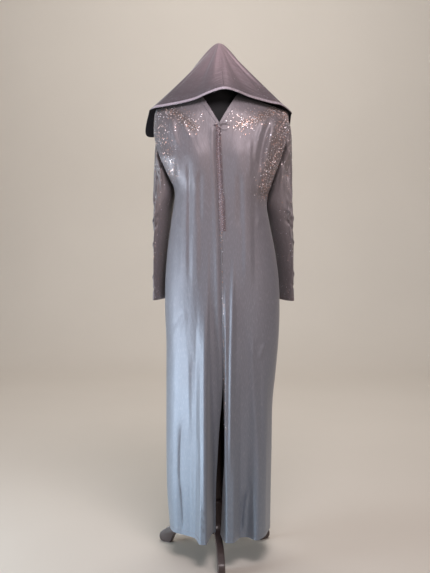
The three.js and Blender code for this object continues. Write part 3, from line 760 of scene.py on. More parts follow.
ROWS = np.concatenate([np.linspace(0, 1, 111) ** 1.35, 1 + np.linspace(0, 1, 221)[1:]])
COLUMNS_ACROSS = {
    FRONT: np.append(ROLL_SHARE * np.linspace(0, 1, 110), [0.99, 1.0]),
    BACK: np.append(ROLL_SHARE * np.linspace(0, 1, 70), [0.99, 1.0]),
}


def on_panel(name, face, side, us, vs, thick, lift=0.0):
    """A wall over a panel's own places: the panel itself, or a band that lies on it."""

    def keep(points):
        points[:, 1] = face * np.maximum(face * points[:, 1], SEAM / 2)
        if face == BACK:
            points[:, 0] = side * np.maximum(side * points[:, 0], SEAM / 2)
        return points

    surface = panel_surface(face, side)
    return wall(name, surface, us, vs, face * side, thick, lift, keep=keep)


def panel(name, face, side):
    return on_panel(name, face, side, COLUMNS_ACROSS[face], ROWS, CLOTH)


# %% Make the panels and sleeves
front_right = panel("cloth_front_right", FRONT, RIGHT)
front_left = panel("cloth_front_left", FRONT, LEFT)
back_right = panel("cloth_back_right", BACK, RIGHT)
back_left = panel("cloth_back_left", BACK, LEFT)
sleeve_right = sleeve("cloth_sleeve_right", RIGHT)
sleeve_left = sleeve("cloth_sleeve_left", LEFT)

# %% [markdown]
# ## The hood
#
# The hood is one piece of the same satin. Its free edge is a closed table of points, and the
# cloth rises from it to a peak.

# %% A point of the hood
HOOD_EDGE = table(
    "x y z fall",
    [
        (14, -101, 1502, 1.0),
        (-32, -97, 1489, 1.0),
        (-77, -82, 1471, 0.96),
        (-125, -66, 1460, 0.9),
        (-185, -42, 1452, 0.86),
        (-220, -20, 1447, 0.86),
        (-233, 32, 1438, 0.92),
        (-246, 84, 1371, 1.15),
        (-200, 114, 1362, 1.35),
        (-105, 126, 1342, 1.6),
        (0, 132, 1328, 1.7),
        (105, 126, 1340, 1.6),
        (196, 112, 1360, 1.35),
        (232, 84, 1374, 1.15),
        (239, 30, 1430, 0.95),
        (236, -18, 1436, 0.95),
        (204, -40, 1456, 0.95),
        (164, -56, 1463, 0.96),
        (99, -74, 1479, 0.98),
        (54, -95, 1495, 1.0),
    ],
)
HOOD_TIP = 0.05
# Ridges that run down the hood: the place where each starts at the peak and where it meets the
# edge, how wide it is on either side, and its height.
HOOD_RIDGES = [
    (3.4, 3.6, 1.4, 1.2, 7),
    (1.3, 1.2, 1.0, 1.0, 9),
    (19.2, 19.2, 0.7, 0.7, 5),
    (4.6, 4.9, 0.4, 0.5, 3),
    (9.0, 9.0, 1.3, 1.3, 9),
    (11.6, 11.6, 1.2, 1.2, 8),
    (18.2, 17.0, 0.36, 1.1, 10),
    (17.3, 16.2, 0.5, 0.35, -6),
]


def around(column, place):
    """One column of the closed edge, read smoothly at a place that counts its rows."""
    value = HOOD_EDGE[column]
    i = np.floor(place).astype(int)
    t = place - i
    a, b, c, d = (value[(i + step) % len(value)] for step in (-1, 0, 1, 2))
    return b + 0.5 * t * (c - a + t * (2 * a - 5 * b + 4 * c - d + t * (3 * (b - c) + d - a)))


def hood_point(place, out):
    x, y, z, fall = (around(column, place) for column in ("x", "y", "z", "fall"))
    rounded = (np.hypot(out, HOOD_TIP) - HOOD_TIP) / (math.hypot(1, HOOD_TIP) - HOOD_TIP)
    count = len(HOOD_EDGE["x"])
    ridge = np.zeros(np.shape(place))
    for top, foot, before, after, height in HOOD_RIDGES:
        apart = (place - mix(top, foot, out) + count * 1.5) % count - count / 2
        ridge = ridge + height * crown(apart, before, after) * np.sin(math.pi * np.clip(out, 0, 1)) ** 2
    up = PEAK - (PEAK - z) * np.sign(rounded) * np.abs(rounded) ** fall + ridge
    return np.stack([x * out, y * out, up], -1)


hood_columns = np.linspace(0, len(HOOD_EDGE["x"]), 241)[:-1]
hood_rows = np.linspace(0, 1, 91) ** 1.15
hood = wall("cloth_hood", hood_point, hood_columns, hood_rows, 1, CLOTH, closed=True, tip=True)

# %% [markdown]
# ## Bands and braid
#
# What is sewn on a panel is made from the panel's own formula, raised off it by its thickness.

# %% Make the bands and the braid
LIFT = SEAM + TRIM
BAND_ROW, BAND_SHARE, BACK_BAND = 0.2**1.7, 0.345, 0.42
BRAID_SHARE, BRAID_FOOT = 0.106, 1 + 1 / 12

band_rows = np.linspace(0, BAND_ROW, 9)


def neckband(name, face, side):
    share = BAND_SHARE if face == FRONT else BACK_BAND
    return on_panel(name, face, side, np.linspace(0, share, 60), band_rows, TRIM, LIFT)


band_right = neckband("band_neck_right", FRONT, RIGHT)
band_left = neckband("band_neck_left", FRONT, LEFT)
band_back_right = neckband("band_neck_back_right", BACK, RIGHT)
band_back_left = neckband("band_neck_back_left", BACK, LEFT)
braid_columns = np.linspace(0, BRAID_SHARE, 9)
braid_rows = np.linspace(BAND_ROW + 0.002, BRAID_FOOT, 220)
braid = on_panel("braid_front", FRONT, LEFT, braid_columns, braid_rows, TRIM, LIFT)
hood_band = wall(
    "band_hood", hood_point, np.linspace(-5, 5, 200), np.linspace(0.955, 0.999, 7), 1, TRIM, LIFT
)

# %% [markdown]
# ## The dress form
#
# The form is a smooth closed loft through level sections, in black jersey.

# %% Loft the form
FORM = table(
    "z wide front back",
    [
        (800, 140, 84, 96),
        (815, 150, 92, 103),
        (880, 154, 97, 108),
        (960, 140, 93, 98),
        (1060, 116, 86, 84),
        (1160, 124, 94, 86),
        (1240, 134, 108, 90),
        (1290, 140, 108, 92),
        (1350, 150, 96, 90),
        (1405, 164, 80, 80),
        (1435, 150, 66, 70),
        (1462, 112, 52, 60),
        (1482, 66, 42, 46),
        (1500, 47, 40, 41),
        (1530, 44, 41, 41),
        (1560, 43, 42, 42),
    ],
)


def closed_rings(name, rings, uv=False):
    """A closed solid from rings of points, from its foot to its head, with flat ends."""
    rows, columns, _ = rings.shape
    ends = [rings[0].mean(axis=0), rings[-1].mean(axis=0)]
    points = np.concatenate([rings.reshape(-1, 3), ends])
    index = np.arange(rows * columns).reshape(rows, columns)
    ahead = np.roll(index, -1, axis=1)
    faces = np.stack([index[:-1], ahead[:-1], ahead[1:], index[1:]], -1).reshape(-1, 4).tolist()
    foot, head = rows * columns, rows * columns + 1
    faces += [(foot, j, i) for i, j in zip(index[0].tolist(), ahead[0].tolist())]
    faces += [(head, i, j) for i, j in zip(index[-1].tolist(), ahead[-1].tolist())]
    return mesh_object(name, points, faces, points[:, [0, 2]] if uv else None)


def form_section(turn, z):
    wide, front, rear = (through(FORM, c)(z) for c in ("wide", "front", "back"))
    ahead = np.cos(turn)
    x = wide * np.sin(turn)
    bust = np.where(ahead > 0, bust_out(x, z) * 0.6 * ahead, 0)
    return np.stack([x, -ahead * np.where(ahead > 0, front, rear) - bust, z], -1)


ROUND = np.linspace(0, 2 * math.pi, 129)[:-1]
form = closed_rings(
    "form_body", form_section(*np.meshgrid(ROUND, np.linspace(FORM["z"][0], FORM["z"][-1], 153))), True
)

# %% [markdown]
# ### The stand
#
# The pole, the hub and the neck cap with its knob are turned; each leg is sawn from one board and
# its edges are rounded off.

# %% Turn the pole, hub and cap
HUB = dict(foot=58.0, top=168.0, radius=28.0)
POLE = 15.0
FORM_FOOT, FORM_TOP = FORM["z"][0], FORM["z"][-1]


def turned(name, outline, x=0.0, y=0.0):
    """A turned solid from (radius, height) rows that start and end near the axis."""
    radius, z = (np.array(column)[:, None] for column in zip(*outline))
    rings = np.stack(np.broadcast_arrays(x + radius * np.cos(ROUND), y + radius * np.sin(ROUND), z), -1)
    return closed_rings(name, rings)


def cap_outline():
    foot, knob = FORM_TOP + SEAM, PEAK - 25
    rows = [(40.4, foot), (41, foot + 0.6), (42, foot + 5), (41.6, foot + 8), (40, foot + 10.6)]
    rows += [(36, foot + 12.2), (20, foot + 15), (12, foot + 18), (9, foot + 22), (7.4, foot + 30)]
    rows += [(7, foot + 40), (6, knob - 14), (9, knob - 10)]
    rows += [(12 * math.cos(a), knob + 12 * math.sin(a)) for a in np.radians(np.linspace(-50, 88, 16))]
    return rows


def rod_outline(foot, top, radius, round_off):
    """A plain cylinder with rounded edges."""
    turn = np.linspace(0, math.pi / 2, 6)
    low = [(radius - round_off * (1 - math.sin(a)), foot + round_off * (1 - math.cos(a))) for a in turn]
    return low + [(r, top + foot - z) for r, z in low[::-1]]


neck_cap = turned("cap_neck", cap_outline())
hub = turned("hub_turned", rod_outline(HUB["foot"], HUB["top"], HUB["radius"], 8.0), **STAND)
pole = turned("pole_turned", rod_outline(HUB["top"] + SEAM, FORM_FOOT - SEAM, POLE, 1.0), **STAND)

# %% Saw the legs
LEG = dict(wide=22.0, azimuth=4.0, round_off=2.2)
CURVE_POINTS, EDGE_POINTS = 15, 5
INNER = HUB["radius"] + SEAM
LEG_CURVES = [
    [(INNER, 140), (31, 104), (38, 84), (62, 77)],
    [(62, 77), (104, 68), (152, 70), (178, 51)],
    [(178, 51), (196, 38), (211, 32), (211, 17)],
    [(211, 17), (211, 6), (204, 0), (195, 0)],
    [(195, 0), (187, 0), (180, 0), (172, 0)],
    [(172, 0), (163, 2), (164, 26), (148, 36)],
    [(148, 36), (122, 50), (78, 46), (INNER, 62)],
]


def leg(name, azimuth):
    outline = [np.array([LEG_CURVES[0][0]])]
    for a, b, c, d in np.array(LEG_CURVES, float):
        t = np.linspace(0, 1, CURVE_POINTS)[1:, None]
        outline.append((1 - t) ** 3 * a + 3 * (1 - t) ** 2 * t * b + 3 * (1 - t) * t**2 * c + t**3 * d)
    outline = np.concatenate(outline)
    along = np.roll(outline, -1, axis=0) - np.roll(outline, 1, axis=0)
    inward = np.stack([along[:, 1], -along[:, 0]], -1) / np.linalg.norm(along, axis=1, keepdims=True)
    half, rounding, rings = LEG["wide"] / 2, LEG["round_off"], []
    turns = np.linspace(0, math.pi / 2, EDGE_POINTS)
    layers = [(rounding * (1 - math.sin(a)), -half + rounding * (1 - math.cos(a))) for a in turns]
    layers += [(inset, -y) for inset, y in layers[::-1]]
    heading = math.radians(azimuth - 90)
    for inset, y in layers:
        far, up = (outline + inward * inset).T
        up = np.maximum(up, 0)
        x = far * math.cos(heading) - y * math.sin(heading) + STAND["x"]
        rings.append(np.stack([x, far * math.sin(heading) + y * math.cos(heading) + STAND["y"], up], -1))
    return mesh_object(name, np.concatenate(rings), ring_faces(len(rings), len(outline)))


leg_front = leg("wood_leg_front", LEG["azimuth"])
leg_right = leg("wood_leg_right", LEG["azimuth"] - 120)
leg_left = leg("wood_leg_left", LEG["azimuth"] + 120)

# %% [markdown]
# ## Finishes
#
# Shader maths reads best as plain arithmetic, so a small class wraps a node's output and lets
# Python's operators add the Math nodes. Any other node comes from one method.


# %% Shader arithmetic
class Value:
    """A node's output; arithmetic on it adds Math nodes to its tree."""

    def __init__(self, nodes, socket):
        self.nodes, self.socket = nodes, socket

    def _math(self, operation, *values):
        return self.nodes.add("ShaderNodeMath", {"operation": operation}, *values)

    def __add__(self, other):
        return self._math("ADD", self, other)

    def __sub__(self, other):
        return self._math("SUBTRACT", self, other)

    def __rsub__(self, other):
        return self._math("SUBTRACT", other, self)

    def __mul__(self, other):
        return self._math("MULTIPLY", self, other)

    def __truediv__(self, other):
        return self._math("DIVIDE", self, other)

    __radd__, __rmul__ = __add__, __mul__

    def at_least(self, other):
        return self._math("MAXIMUM", self, other)

    def at_most(self, other):
        return self._math("MINIMUM", self, other)


class Nodes:
    """One material's nodes. `add` takes a node's type, its settings, and its inputs in order or by
    name, and gives back its first output, or the one that `out` names."""

    def __init__(self, name):
        self.material = bpy.data.materials.new(name)
        self.material.use_nodes = True
        self.tree = self.material.node_tree
        self.tree.nodes.clear()

    def plug(self, socket, value):
        if isinstance(value, Value):
            self.tree.links.new(value.socket, socket)
        elif hasattr(socket.default_value, "__len__") and not hasattr(value, "__len__"):
            socket.default_value = [value] * len(socket.default_value)
        else:
            socket.default_value = value

    def add(self, kind, settings=None, *inputs, out=0, **named):
        node = self.tree.nodes.new(kind)
        for key, value in (settings or {}).items():
            if key == "stops":
                while len(node.color_ramp.elements) < len(value):
                    node.color_ramp.elements.new(0.5)
                for stop, (at, colour) in zip(node.color_ramp.elements, value):
                    stop.position, stop.color = at, colour
            else:
                setattr(node, key, value)
        for socket, value in zip(node.inputs, inputs):
            self.plug(socket, value)
        for key, value in named.items():
            self.plug(node.inputs[key.replace("_", " ")], value)
        return Value(self, node.outputs[out])

    def noise(self, place, scale, detail=2.0, rough=0.5):
        return self.add(
            "ShaderNodeTexNoise", None, Vector=place, Scale=scale, Detail=detail, Roughness=rough
        )

    def stretched(self, place, scale):
        return self.add("ShaderNodeMapping", None, Vector=place, Scale=scale)

    def blend(self, amount, first, second):
        """A colour between two."""
        node = self.tree.nodes.new("ShaderNodeMix")
        node.data_type = "RGBA"
        for socket, value in ((0, amount), (6, first), (7, second)):
            self.plug(node.inputs[socket], value)
        return Value(self, node.outputs[2])

    def surface(self, colour, roughness, height=None, depth=0.0002, **constants):
        """The shader and the output. Anything in `constants` is set on the shader's own socket."""
        named = {"Base Color": colour, "Roughness": roughness, **constants}
        if height is not None:
            named["Normal"] = self.add("ShaderNodeBump", None, Distance=depth, Height=height)
        node = self.tree.nodes.new("ShaderNodeBsdfPrincipled")
        for key, value in named.items():
            self.plug(node.inputs[key], value)
        output = self.tree.nodes.new("ShaderNodeOutputMaterial")
        self.tree.links.new(node.outputs[0], output.inputs[0])
        return self.material


def rgb(red, green, blue):
    """A colour for a node from screen values of 0 to 255."""
    return tuple(((v / 255 + 0.055) / 1.055) ** 2.4 for v in (red, green, blue)) + (1.0,)


# %% [markdown]
# ### Satin
#
# Satin is smooth because most of its threads float on the face in one direction. Its gloss is a
# broad streak along the folds, not a point. A metallic share gives that streak the colour of the
# thread, and a fine weave, stretched along the warp and the weft, breaks it up. The colour also
# carries painted light: it changes with height as the lamps light the cloth, and the warp is
# lightened in fine streaks of painted sheen. Where stones lie, their share on the cloth's faces
# tints it brown in fine streaks: partly the colour of glitter too small to model, partly painted
# shade that darkens the sleeves in streaks like creases.

# %% Satin
def satin(name, low, high, foot=0.1, top=1.3, metallic=0.30, rough=0.52, sheen=0.25):
    """Satin whose colour goes from one at the foot to another at the top: a painted change of light and
    shade with height.
    """
    nodes = Nodes(name)
    cloth = nodes.add("ShaderNodeUVMap", {"uv_map": "cloth"})
    place = nodes.add("ShaderNodeTexCoord", None, out=3)
    parts = nodes.tree.nodes.new("ShaderNodeSeparateXYZ")
    nodes.plug(parts.inputs[0], place)
    height_up = (Value(nodes, parts.outputs[2]) - foot) / (top - foot)
    warp = nodes.noise(nodes.stretched(cloth, (900, 60, 1)), 1.0, 2.0)
    weft = nodes.noise(nodes.stretched(cloth, (80, 1500, 1)), 1.0, 2.0)
    cloud = nodes.noise(nodes.stretched(cloth, (9, 4, 1)), 1.0, 3.0)
    crumple = nodes.noise(nodes.stretched(cloth, (46, 11, 1)), 1.0, 3.0, 0.55)
    # Painted light and shade: the colour moves with height, standing in for how the lamps fall on the
    # cloth.
    up = (height_up + 0.24 * (cloud - 0.5)).at_most(1.0).at_least(0.0)
    plain = nodes.blend(up, low, high)
    # Painted sheen: the warp is lightened towards pale grey in fine streaks.
    painted_warp_sheen = nodes.blend((warp - 0.5).at_least(0.0), plain, rgb(196, 196, 206))
    stone_cover = nodes.add("ShaderNodeAttribute", {"attribute_name": "stones"}, out=2)
    streak = nodes.noise(nodes.stretched(cloth, (260, 22, 1)), 1.0, 4.0, 0.65)
    # Where stones lie the cloth turns brown in fine streaks: partly the colour of glitter too small to
    # model, partly painted shade that darkens the sleeves in streaks like creases.
    stone_tint_and_streak_shade = (stone_cover * (streak * 3.0 - 0.8)).at_most(0.6).at_least(0.0)
    colour = nodes.blend(stone_tint_and_streak_shade, painted_warp_sheen, rgb(96, 78, 68))
    roughness = rough + 0.12 * (warp - 0.5) + 0.10 * (cloud - 0.5) - 0.12 * stone_tint_and_streak_shade
    relief = warp * 0.05 + weft * 0.05 + crumple + 0.5 * stone_cover * streak
    return nodes.surface(
        colour, roughness, relief, 0.0014, Metallic=metallic, **{"Sheen Weight": sheen}
    )


def reverse(name):
    """The dull wrong side of the satin, where the crossing threads show; its near-black colour is painted
    shade for the hollow inside of each piece.
    """
    nodes = Nodes(name)
    cloth = nodes.add("ShaderNodeUVMap", {"uv_map": "cloth"})
    twill = nodes.noise(nodes.stretched(cloth, (700, 260, 1)), 1.0, 2.0)
    # Painted shade: the wrong side is coloured near black, far darker than the face, for the shade inside
    # the garment and the hood.
    colour = nodes.blend(twill, rgb(30, 27, 33), rgb(48, 44, 52))
    return nodes.surface(colour, 0.8 + 0.1 * twill, twill, 0.0002)


# Painted light: bluer towards the hem where the cool key falls, mauve towards the shoulders under the
# warm top light.
SATIN_PAINTED_LIGHT = satin("satin", rgb(120, 130, 144), rgb(132, 124, 130))
# Painted shade: the sleeves take a darker, browner copy of the same satin for the shade they hang in,
# darker still towards the cuff.
SLEEVE_SATIN_PAINTED_SHADE = satin("sleeve satin", rgb(110, 101, 105), rgb(138, 129, 132), 0.85, 1.4)
# Painted shade and light: the hood is dark low down by its edge band and pale pink towards the peak under
# the top light.
HOOD_SATIN_PAINTED_LIGHT = satin("hood satin", rgb(100, 88, 94), rgb(160, 138, 145), 1.50, 1.67)
PALE_SATIN = satin("pale satin", rgb(204, 192, 206), rgb(204, 192, 206), 1.4, 1.6, 0.1, 0.5)
REVERSE_PAINTED_SHADE = reverse("satin reverse")


# %% Jersey, braid and wood
def jersey(name):
    nodes = Nodes(name)
    cloth = nodes.add("ShaderNodeUVMap", {"uv_map": "cloth"})
    rib = nodes.noise(nodes.stretched(cloth, (1100, 500, 1)), 1.0, 2.0)
    colour = nodes.blend(rib, rgb(9, 8, 12), rgb(24, 22, 28))
    return nodes.surface(colour, 0.75 + 0.1 * rib, rib, 0.0003, **{"Sheen Weight": 0.2})


def braid_thread(name):
    nodes = Nodes(name)
    cloth = nodes.add("ShaderNodeUVMap", {"uv_map": "cloth"})
    cord = nodes.add("ShaderNodeTexWave", {"bands_direction": "DIAGONAL"}, Vector=cloth, Scale=160.0)
    fleck = nodes.noise(cloth, 700.0, 2.0)
    colour = nodes.blend((cord * 0.6 + fleck * 0.4), rgb(92, 80, 86), rgb(140, 124, 132))
    return nodes.surface(colour, 0.5 - 0.15 * fleck, cord, 0.0006, Metallic=0.25)


def wood(name, dark, light):
    nodes = Nodes(name)
    place = nodes.add("ShaderNodeTexCoord", None, out=3)
    grain = nodes.noise(nodes.stretched(place, (60, 60, 9)), 1.0, 5.0, 0.6)
    pores = nodes.noise(nodes.stretched(place, (420, 420, 40)), 1.0, 2.0)
    colour = nodes.blend(grain * 0.8 + pores * 0.2, dark, light)
    roughness = 0.36 + 0.2 * pores
    return nodes.surface(colour, roughness, pores, 0.0002, **{"Coat Weight": 0.25})


def plain_floor(name):
    nodes = Nodes(name)
    place = nodes.add("ShaderNodeTexCoord", None, out=3)
    cloud = nodes.noise(place, 1.4, 2.0)
    colour = nodes.blend(cloud, rgb(216, 208, 198), rgb(224, 216, 206))
    return nodes.surface(colour, 0.7 + 0.1 * cloud)


JERSEY = jersey("black jersey")
BRAID = braid_thread("braid thread")
WALNUT = wood("dark walnut", rgb(44, 34, 33), rgb(84, 68, 66))
floor.data.materials.append(plain_floor("studio floor"))

# %% Stones and thread
def stones_finish(name):
    nodes = Nodes(name)
    place = nodes.add("ShaderNodeTexCoord", None, out=3)
    tint = nodes.noise(place, 260.0, 1.0)
    tints = [(0.36, rgb(226, 170, 150)), (0.5, rgb(255, 232, 228)), (0.64, rgb(232, 234, 246))]
    colour = nodes.add("ShaderNodeValToRGB", {"stops": tints}, tint)
    return nodes.surface(colour, 0.16 + 0.2 * tint, Metallic=0.55)


def thread(name, dark, light):
    nodes = Nodes(name)
    place = nodes.add("ShaderNodeTexCoord", None, out=3)
    ply = nodes.noise(place, 2400.0, 1.0)
    return nodes.surface(nodes.blend(ply, dark, light), 0.5 + 0.2 * ply)


STONE = stones_finish("cut stone")
THREAD = thread("thread", rgb(104, 98, 106), rgb(168, 158, 166))

# %% [markdown]
# ## Stones and stitches
#
# Both are one small shape repeated many times, so Geometry Nodes places them and then makes them
# real mesh. Stones are spread over a cloth by a share stored on its faces, never closer to each
# other than a set distance. Stitches follow rows of edges.


# %% Node trees that repeat a small shape
class Tree:
    """A Geometry Nodes tree with named inputs."""

    def __init__(self, name, **sockets):
        self.tree = bpy.data.node_groups.new(name, "GeometryNodeTree")
        face = self.tree.interface
        face.new_socket("Geometry", in_out="INPUT", socket_type="NodeSocketGeometry")
        self.keys = {}
        for label, kind in sockets.items():
            socket = face.new_socket(label, in_out="INPUT", socket_type="NodeSocket" + kind)
            self.keys[label] = socket.identifier
        face.new_socket("Geometry", in_out="OUTPUT", socket_type="NodeSocketGeometry")
        self.given = self.tree.nodes.new("NodeGroupInput")
        self.result = self.tree.nodes.new("NodeGroupOutput")

    def add(self, kind, settings=None, **inputs):
        node = self.tree.nodes.new(kind)
        for key, value in (settings or {}).items():
            setattr(node, key, value)
        for key, source in inputs.items():
            self.tree.links.new(source, node.inputs[key.replace("_", " ")])
        return node

    def finish(self, instances):
        """Make the instances real and give them the material that the tree was handed."""
        real = self.add("GeometryNodeRealizeInstances", Geometry=instances)
        painted = self.add(
            "GeometryNodeSetMaterial", Geometry=real.outputs[0], Material=self.given.outputs["material"]
        )
        self.tree.links.new(painted.outputs[0], self.result.inputs[0])


def stone_tree():
    tree = Tree(
        "stones on cloth",
        stone="Object", material="Material", apart="Float", most="Float",
        smallest="Float", largest="Float", seed="Int",
    )
    given = tree.given.outputs
    share = tree.add("GeometryNodeInputNamedAttribute", {"data_type": "FLOAT"})
    share.inputs["Name"].default_value = "stones"
    spots = tree.add(
        "GeometryNodeDistributePointsOnFaces",
        {"distribute_method": "POISSON"},
        Mesh=given["Geometry"], Distance_Min=given["apart"], Density_Max=given["most"],
        Density_Factor=share.outputs[0], Seed=given["seed"],
    )
    shape = tree.add("GeometryNodeObjectInfo", Object=given["stone"])
    size = tree.tree.nodes.new("FunctionNodeRandomValue")
    size.data_type = "FLOAT"
    tree.tree.links.new(given["smallest"], size.inputs[2])
    tree.tree.links.new(given["largest"], size.inputs[3])
    placed = tree.add(
        "GeometryNodeInstanceOnPoints",
        Points=spots.outputs["Points"], Instance=shape.outputs["Geometry"],
        Rotation=spots.outputs["Rotation"], Scale=size.outputs[1],
    )
    tree.finish(placed.outputs[0])
    return tree


def stitch_tree():
    tree = Tree("stitches on rows", stitch="Object", material="Material", pitch="Float")
    given = tree.given.outputs
    line = tree.add("GeometryNodeMeshToCurve", Mesh=given["Geometry"])
    spots = tree.add(
        "GeometryNodeCurveToPoints", {"mode": "LENGTH"}, Curve=line.outputs[0], Length=given["pitch"]
    )
    shape = tree.add("GeometryNodeObjectInfo", Object=given["stitch"])
    placed = tree.add(
        "GeometryNodeInstanceOnPoints",
        Points=spots.outputs["Points"], Instance=shape.outputs["Geometry"],
        Rotation=spots.outputs["Rotation"],
    )
    tree.finish(placed.outputs[0])
    return tree


def grow(name, base, tree, **values):
    """A new mesh piece: what the tree makes of a base object's mesh."""
    carrier = bpy.data.objects.new(name + "_carrier", base)
    bpy.context.scene.collection.objects.link(carrier)
    modifier = carrier.modifiers.new("repeat", "NODES")
    modifier.node_group = tree.tree
    for label, value in values.items():
        modifier[tree.keys[label]] = value
    graph = bpy.context.evaluated_depsgraph_get()
    mesh = bpy.data.meshes.new_from_object(carrier.evaluated_get(graph))
    bpy.data.objects.remove(carrier)
    piece = bpy.data.objects.new(name, mesh)
    bpy.context.scene.collection.objects.link(piece)
    return piece


def pattern(name, rings, sides, shade_flat):
    """A small turned shape round Z from (radius, height) rings, to be repeated and then removed."""
    points = []
    for radius, z in rings:
        for i in range(sides):
            angle = 2 * math.pi * i / sides
            points.append((radius * math.cos(angle), radius * math.sin(angle), z))
    mesh = bpy.data.meshes.new(name)
    mesh.from_pydata(points, [], ring_faces(len(rings), sides))
    if not shade_flat:
        mesh.shade_smooth()
    shape = bpy.data.objects.new(name, mesh)
    bpy.context.scene.collection.objects.link(shape)
    return shape


# %% Where the stones lie
STONES_BEHIND = 30.0  # no stone lies further back than this from the form's axis
STONE_ZONES = table(
    "x0 z0 x1 z1 wide share",
    [
        (5, 1160, 13, 800, 2.5, 0.55),
        (13, 800, 19, 430, 2.5, 0.45),
        (-163, 1440, -120, 1413, 16, 1.0),
        (-120, 1413, -80, 1380, 15, 1.0),
        (-190, 1432, -90, 1400, 32, 0.34),
        (-196, 1400, -150, 1230, 22, 0.42),
        (66, 1388, 120, 1408, 16, 1.0),
        (120, 1410, 180, 1440, 17, 1.0),
        (60, 1400, 190, 1425, 32, 0.38),
        (214, 1430, 150, 1180, 30, 0.8),
        (190, 1340, 150, 1180, 20, 0.5),
    ],
)


def stone_share(x, z):
    share = np.zeros(np.shape(x))
    for x0, z0, x1, z1, wide, most in zip(*STONE_ZONES.values()):
        dx, dz = x1 - x0, z1 - z0
        along = np.clip(((x - x0) * dx + (z - z0) * dz) / (dx * dx + dz * dz), 0, 1)
        away = np.hypot(x - x0 - along * dx, z - z0 - along * dz)
        share = np.maximum(share, most * np.exp(-((away / wide) ** 2)))
    return np.where(share < 0.03, 0, share)


# This share also sets how far the sleeve satin is darkened in streaks of painted shade.
def sleeve_share(x, z):
    return 0.07 + 0.4 * ease((z - 1180) / 180) + 0.3 * ease((850 - z) / 20)


def hood_share(x, z):
    return 0.10 * ease((x + 40) / 160) * ease((1560 - z) / 60)


def braid_share(x, z):
    return 0.9 + 0 * x


def band_share(x, z):
    return 0.15 + 0.45 * ease((x - 10) / 40)


def store_share(piece, share_at):
    """Keep the share of stones on each face, with none on the inner side."""
    faces = piece.data.polygons
    centre = np.empty(3 * len(faces))
    number = np.empty(len(faces), np.int32)
    faces.foreach_get("center", centre)
    faces.foreach_get("material_index", number)
    place = (centre.reshape(-1, 3) - AXIS) / MM
    facing = (number == 0) & (place[:, 1] < STONES_BEHIND)
    share = np.where(facing, share_at(place[:, 0], place[:, 2]), 0)
    layer = piece.data.attributes.new("stones", "FLOAT", "FACE")
    layer.data.foreach_set("value", share.astype(np.float32))


# %% Set the stones
stone = pattern("stone_shape", [(0.8, -0.1), (1.0, 0.15), (0.62, 0.55)], 7, shade_flat=True)
STONES = stone_tree()
ON_CLOTH = {piece.name: [] for piece in (front_right, front_left, back_right, back_left)}
ON_CLOTH.update({piece.name: [] for piece in (sleeve_right, sleeve_left, hood)})
TRIMS = {
    "cloth_front_right": [band_right],
    "cloth_front_left": [band_left, braid],
    "cloth_back_right": [band_back_right],
    "cloth_back_left": [band_back_left],
    "cloth_hood": [hood_band],
}
for host, pieces in TRIMS.items():
    ON_CLOTH[host] += pieces

for host, on, share_at, apart, most, sizes in [
    (front_right, front_right, stone_share, 3.2, 60000, (0.8, 2.2)),
    (front_left, front_left, stone_share, 3.2, 60000, (0.8, 2.2)),
    (sleeve_right, sleeve_right, sleeve_share, 3.6, 36000, (0.7, 1.8)),
    (sleeve_left, sleeve_left, sleeve_share, 3.6, 36000, (0.7, 1.8)),
    (hood, hood, hood_share, 4.0, 30000, (0.8, 1.4)),
    (front_left, braid, braid_share, 2.4, 110000, (0.6, 1.1)),
    (hood, hood_band, band_share, 3.6, 40000, (0.7, 1.1)),
]:
    store_share(on, share_at)
    spread_out = grow(
        "stones_" + on.name.removeprefix("cloth_"), on.data, STONES, stone=stone, material=STONE,
        apart=apart * MM, most=float(most), smallest=sizes[0] * MM, largest=sizes[1] * MM, seed=7,
    )
    ON_CLOTH[host.name].append(spread_out)
bpy.data.objects.remove(stone)

# %% Sew the rows of stitches
stitch = pattern(
    "stitch_shape", [(0.0002, -0.0016), (0.00042, -0.0011), (0.00042, 0.0011), (0.0002, 0.0016)], 5, False
)
STITCHES = stitch_tree()


def row_on(surface, us, vs, outward, lift):
    """The points of one row of stitches, a little above a surface."""
    us, vs = np.broadcast_arrays(np.asarray(us, float), np.asarray(vs, float))
    return surface(us, vs) + normals(surface, us, vs, outward) * lift


def sew(host, rows, pitch=5.2):
    points, edges = [], []
    for row in rows:
        first = len(points)
        points += (row * MM + AXIS).tolist()
        edges += [(i, i + 1) for i in range(first, len(points) - 1)]
    mesh = bpy.data.meshes.new("rows")
    mesh.from_pydata(points, edges, [])
    sewn = grow(
        host.name.replace("cloth", "stitches"), mesh, STITCHES,
        stitch=stitch, material=THREAD, pitch=pitch * MM,
    )
    ON_CLOTH[host.name].append(sewn)


